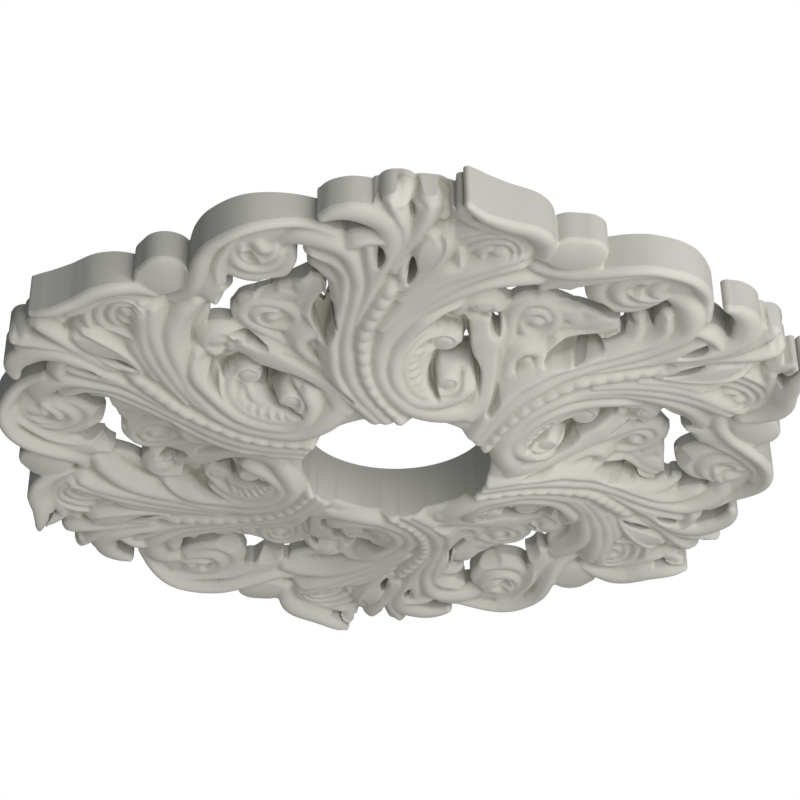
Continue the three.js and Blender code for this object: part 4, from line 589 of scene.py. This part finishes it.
# the raised ridges, above the blurred surface, are mixed towards a lighter grey
ridge_lighten = nt.nodes.new("ShaderNodeMapRange"); ridge_lighten.inputs["From Min"].default_value = -0.05; ridge_lighten.inputs["From Max"].default_value = -0.5
ridge_lighten.inputs["To Min"].default_value = 0.0; ridge_lighten.inputs["To Max"].default_value = 0.35
nt.links.new(cavn.outputs["Fac"], ridge_lighten.inputs["Value"])
mix2 = nt.nodes.new("ShaderNodeMix"); mix2.data_type = "RGBA"
nt.links.new(ridge_lighten.outputs[0], mix2.inputs["Factor"]); nt.links.new(mix.outputs["Result"], mix2.inputs["A"]); mix2.inputs["B"].default_value = (0.66, 0.65, 0.61, 1)
nt.links.new(mix2.outputs["Result"], bsdf.inputs["Base Color"])
ro = nt.nodes.new("ShaderNodeMapRange"); ro.inputs["To Min"].default_value = 0.62; ro.inputs["To Max"].default_value = 0.78
nt.links.new(n1.outputs["Fac"], ro.inputs["Value"]); nt.links.new(ro.outputs[0], bsdf.inputs["Roughness"])
bsdf.inputs["Specular IOR Level"].default_value = 0.3
bump = nt.nodes.new("ShaderNodeBump"); bump.inputs["Strength"].default_value = 0.12; bump.inputs["Distance"].default_value = 0.0004
nt.links.new(n2.outputs["Fac"], bump.inputs["Height"]); nt.links.new(bump.outputs[0], bsdf.inputs["Normal"])
me.materials.append(mat)

# ---- camera: below and in front, looking up at the carved face ---------------------------------
FOCAL_PX, ELEV, ROLL, DIST = 1873.0, math.radians(31.08), math.radians(-0.37), 1.85
cam_data = bpy.data.cameras.new("camera"); cam = bpy.data.objects.new("camera", cam_data); bpy.context.collection.objects.link(cam)
cam_data.sensor_width = 36.0; cam_data.lens = FOCAL_PX / 800 * 36
cam_data.shift_x = (400 - 395.9) / 800; cam_data.shift_y = (422.6 - 400) / 800
cam_data.clip_start = 0.05; cam_data.clip_end = 50
r_ = np.array([1.0, 0, 0]); up_ = np.array([0, -math.sin(ELEV), math.cos(ELEV)]); fw = np.array([0, math.cos(ELEV), math.sin(ELEV)])
c_, s_ = math.cos(ROLL), math.sin(ROLL); r2 = c_ * r_ + s_ * up_; up2 = -s_ * r_ + c_ * up_
mtx = np.eye(4); mtx[:3, 0], mtx[:3, 1], mtx[:3, 2], mtx[:3, 3] = r2, up2, -fw, -fw * DIST
cam.matrix_world = Matrix(mtx.tolist())
bpy.context.scene.camera = cam

# ---- light: a white room, soft lights from the right, the front and below -------
scene = bpy.context.scene
scene.view_settings.view_transform = "Standard"
world = bpy.data.worlds.new("room"); scene.world = world; world.use_nodes = True
wt = world.node_tree; wt.nodes.clear()
wo = wt.nodes.new("ShaderNodeOutputWorld"); soft = wt.nodes.new("ShaderNodeBackground"); plain = wt.nodes.new("ShaderNodeBackground")
soft.inputs[0].default_value = (0.93, 0.96, 1.0, 1); soft.inputs[1].default_value = 0.15
plain.inputs[0].default_value = (1, 1, 1, 1); plain.inputs[1].default_value = 1.0
lp = wt.nodes.new("ShaderNodeLightPath"); ms = wt.nodes.new("ShaderNodeMixShader")
wt.links.new(lp.outputs["Is Camera Ray"], ms.inputs[0]); wt.links.new(soft.outputs[0], ms.inputs[1]); wt.links.new(plain.outputs[0], ms.inputs[2])
wt.links.new(ms.outputs[0], wo.inputs[0])


def area(name, where, power, size, colour):
    d_ = bpy.data.lights.new(name, "AREA"); d_.energy = power; d_.size = size; d_.color = colour
    o_ = bpy.data.objects.new(name, d_); bpy.context.collection.objects.link(o_)
    w_ = np.array(where, float); z = w_ / np.linalg.norm(w_); x = np.cross([0, 0, 1], z); x /= np.linalg.norm(x); y = np.cross(z, x)
    m_ = np.eye(4); m_[:3, 0], m_[:3, 1], m_[:3, 2], m_[:3, 3] = x, y, z, w_; o_.matrix_world = Matrix(m_.tolist())


area("key", (1.7, -1.3, -0.5), 18, 1.2, (1.0, 0.99, 0.97))
area("front", (0.8, -2.2, -0.8), 24, 1.6, (1.0, 0.995, 0.975))
area("below", (0.3, -0.3, -2.6), 28, 1.8, (1.0, 0.985, 0.945))

floor_mesh = bpy.data.meshes.new("floor")
floor_mesh.from_pydata([(-6, -6, -3.2), (6, -6, -3.2), (6, 6, -3.2), (-6, 6, -3.2)], [], [(0, 1, 2, 3)])
floor = bpy.data.objects.new("floor", floor_mesh); bpy.context.collection.objects.link(floor)
fm = bpy.data.materials.new("floor_pale"); fm.use_nodes = True; fb = fm.node_tree.nodes["Principled BSDF"]
fb.inputs["Base Color"].default_value = (0.8, 0.8, 0.78, 1); fb.inputs["Roughness"].default_value = 0.9
floor_mesh.materials.append(fm)
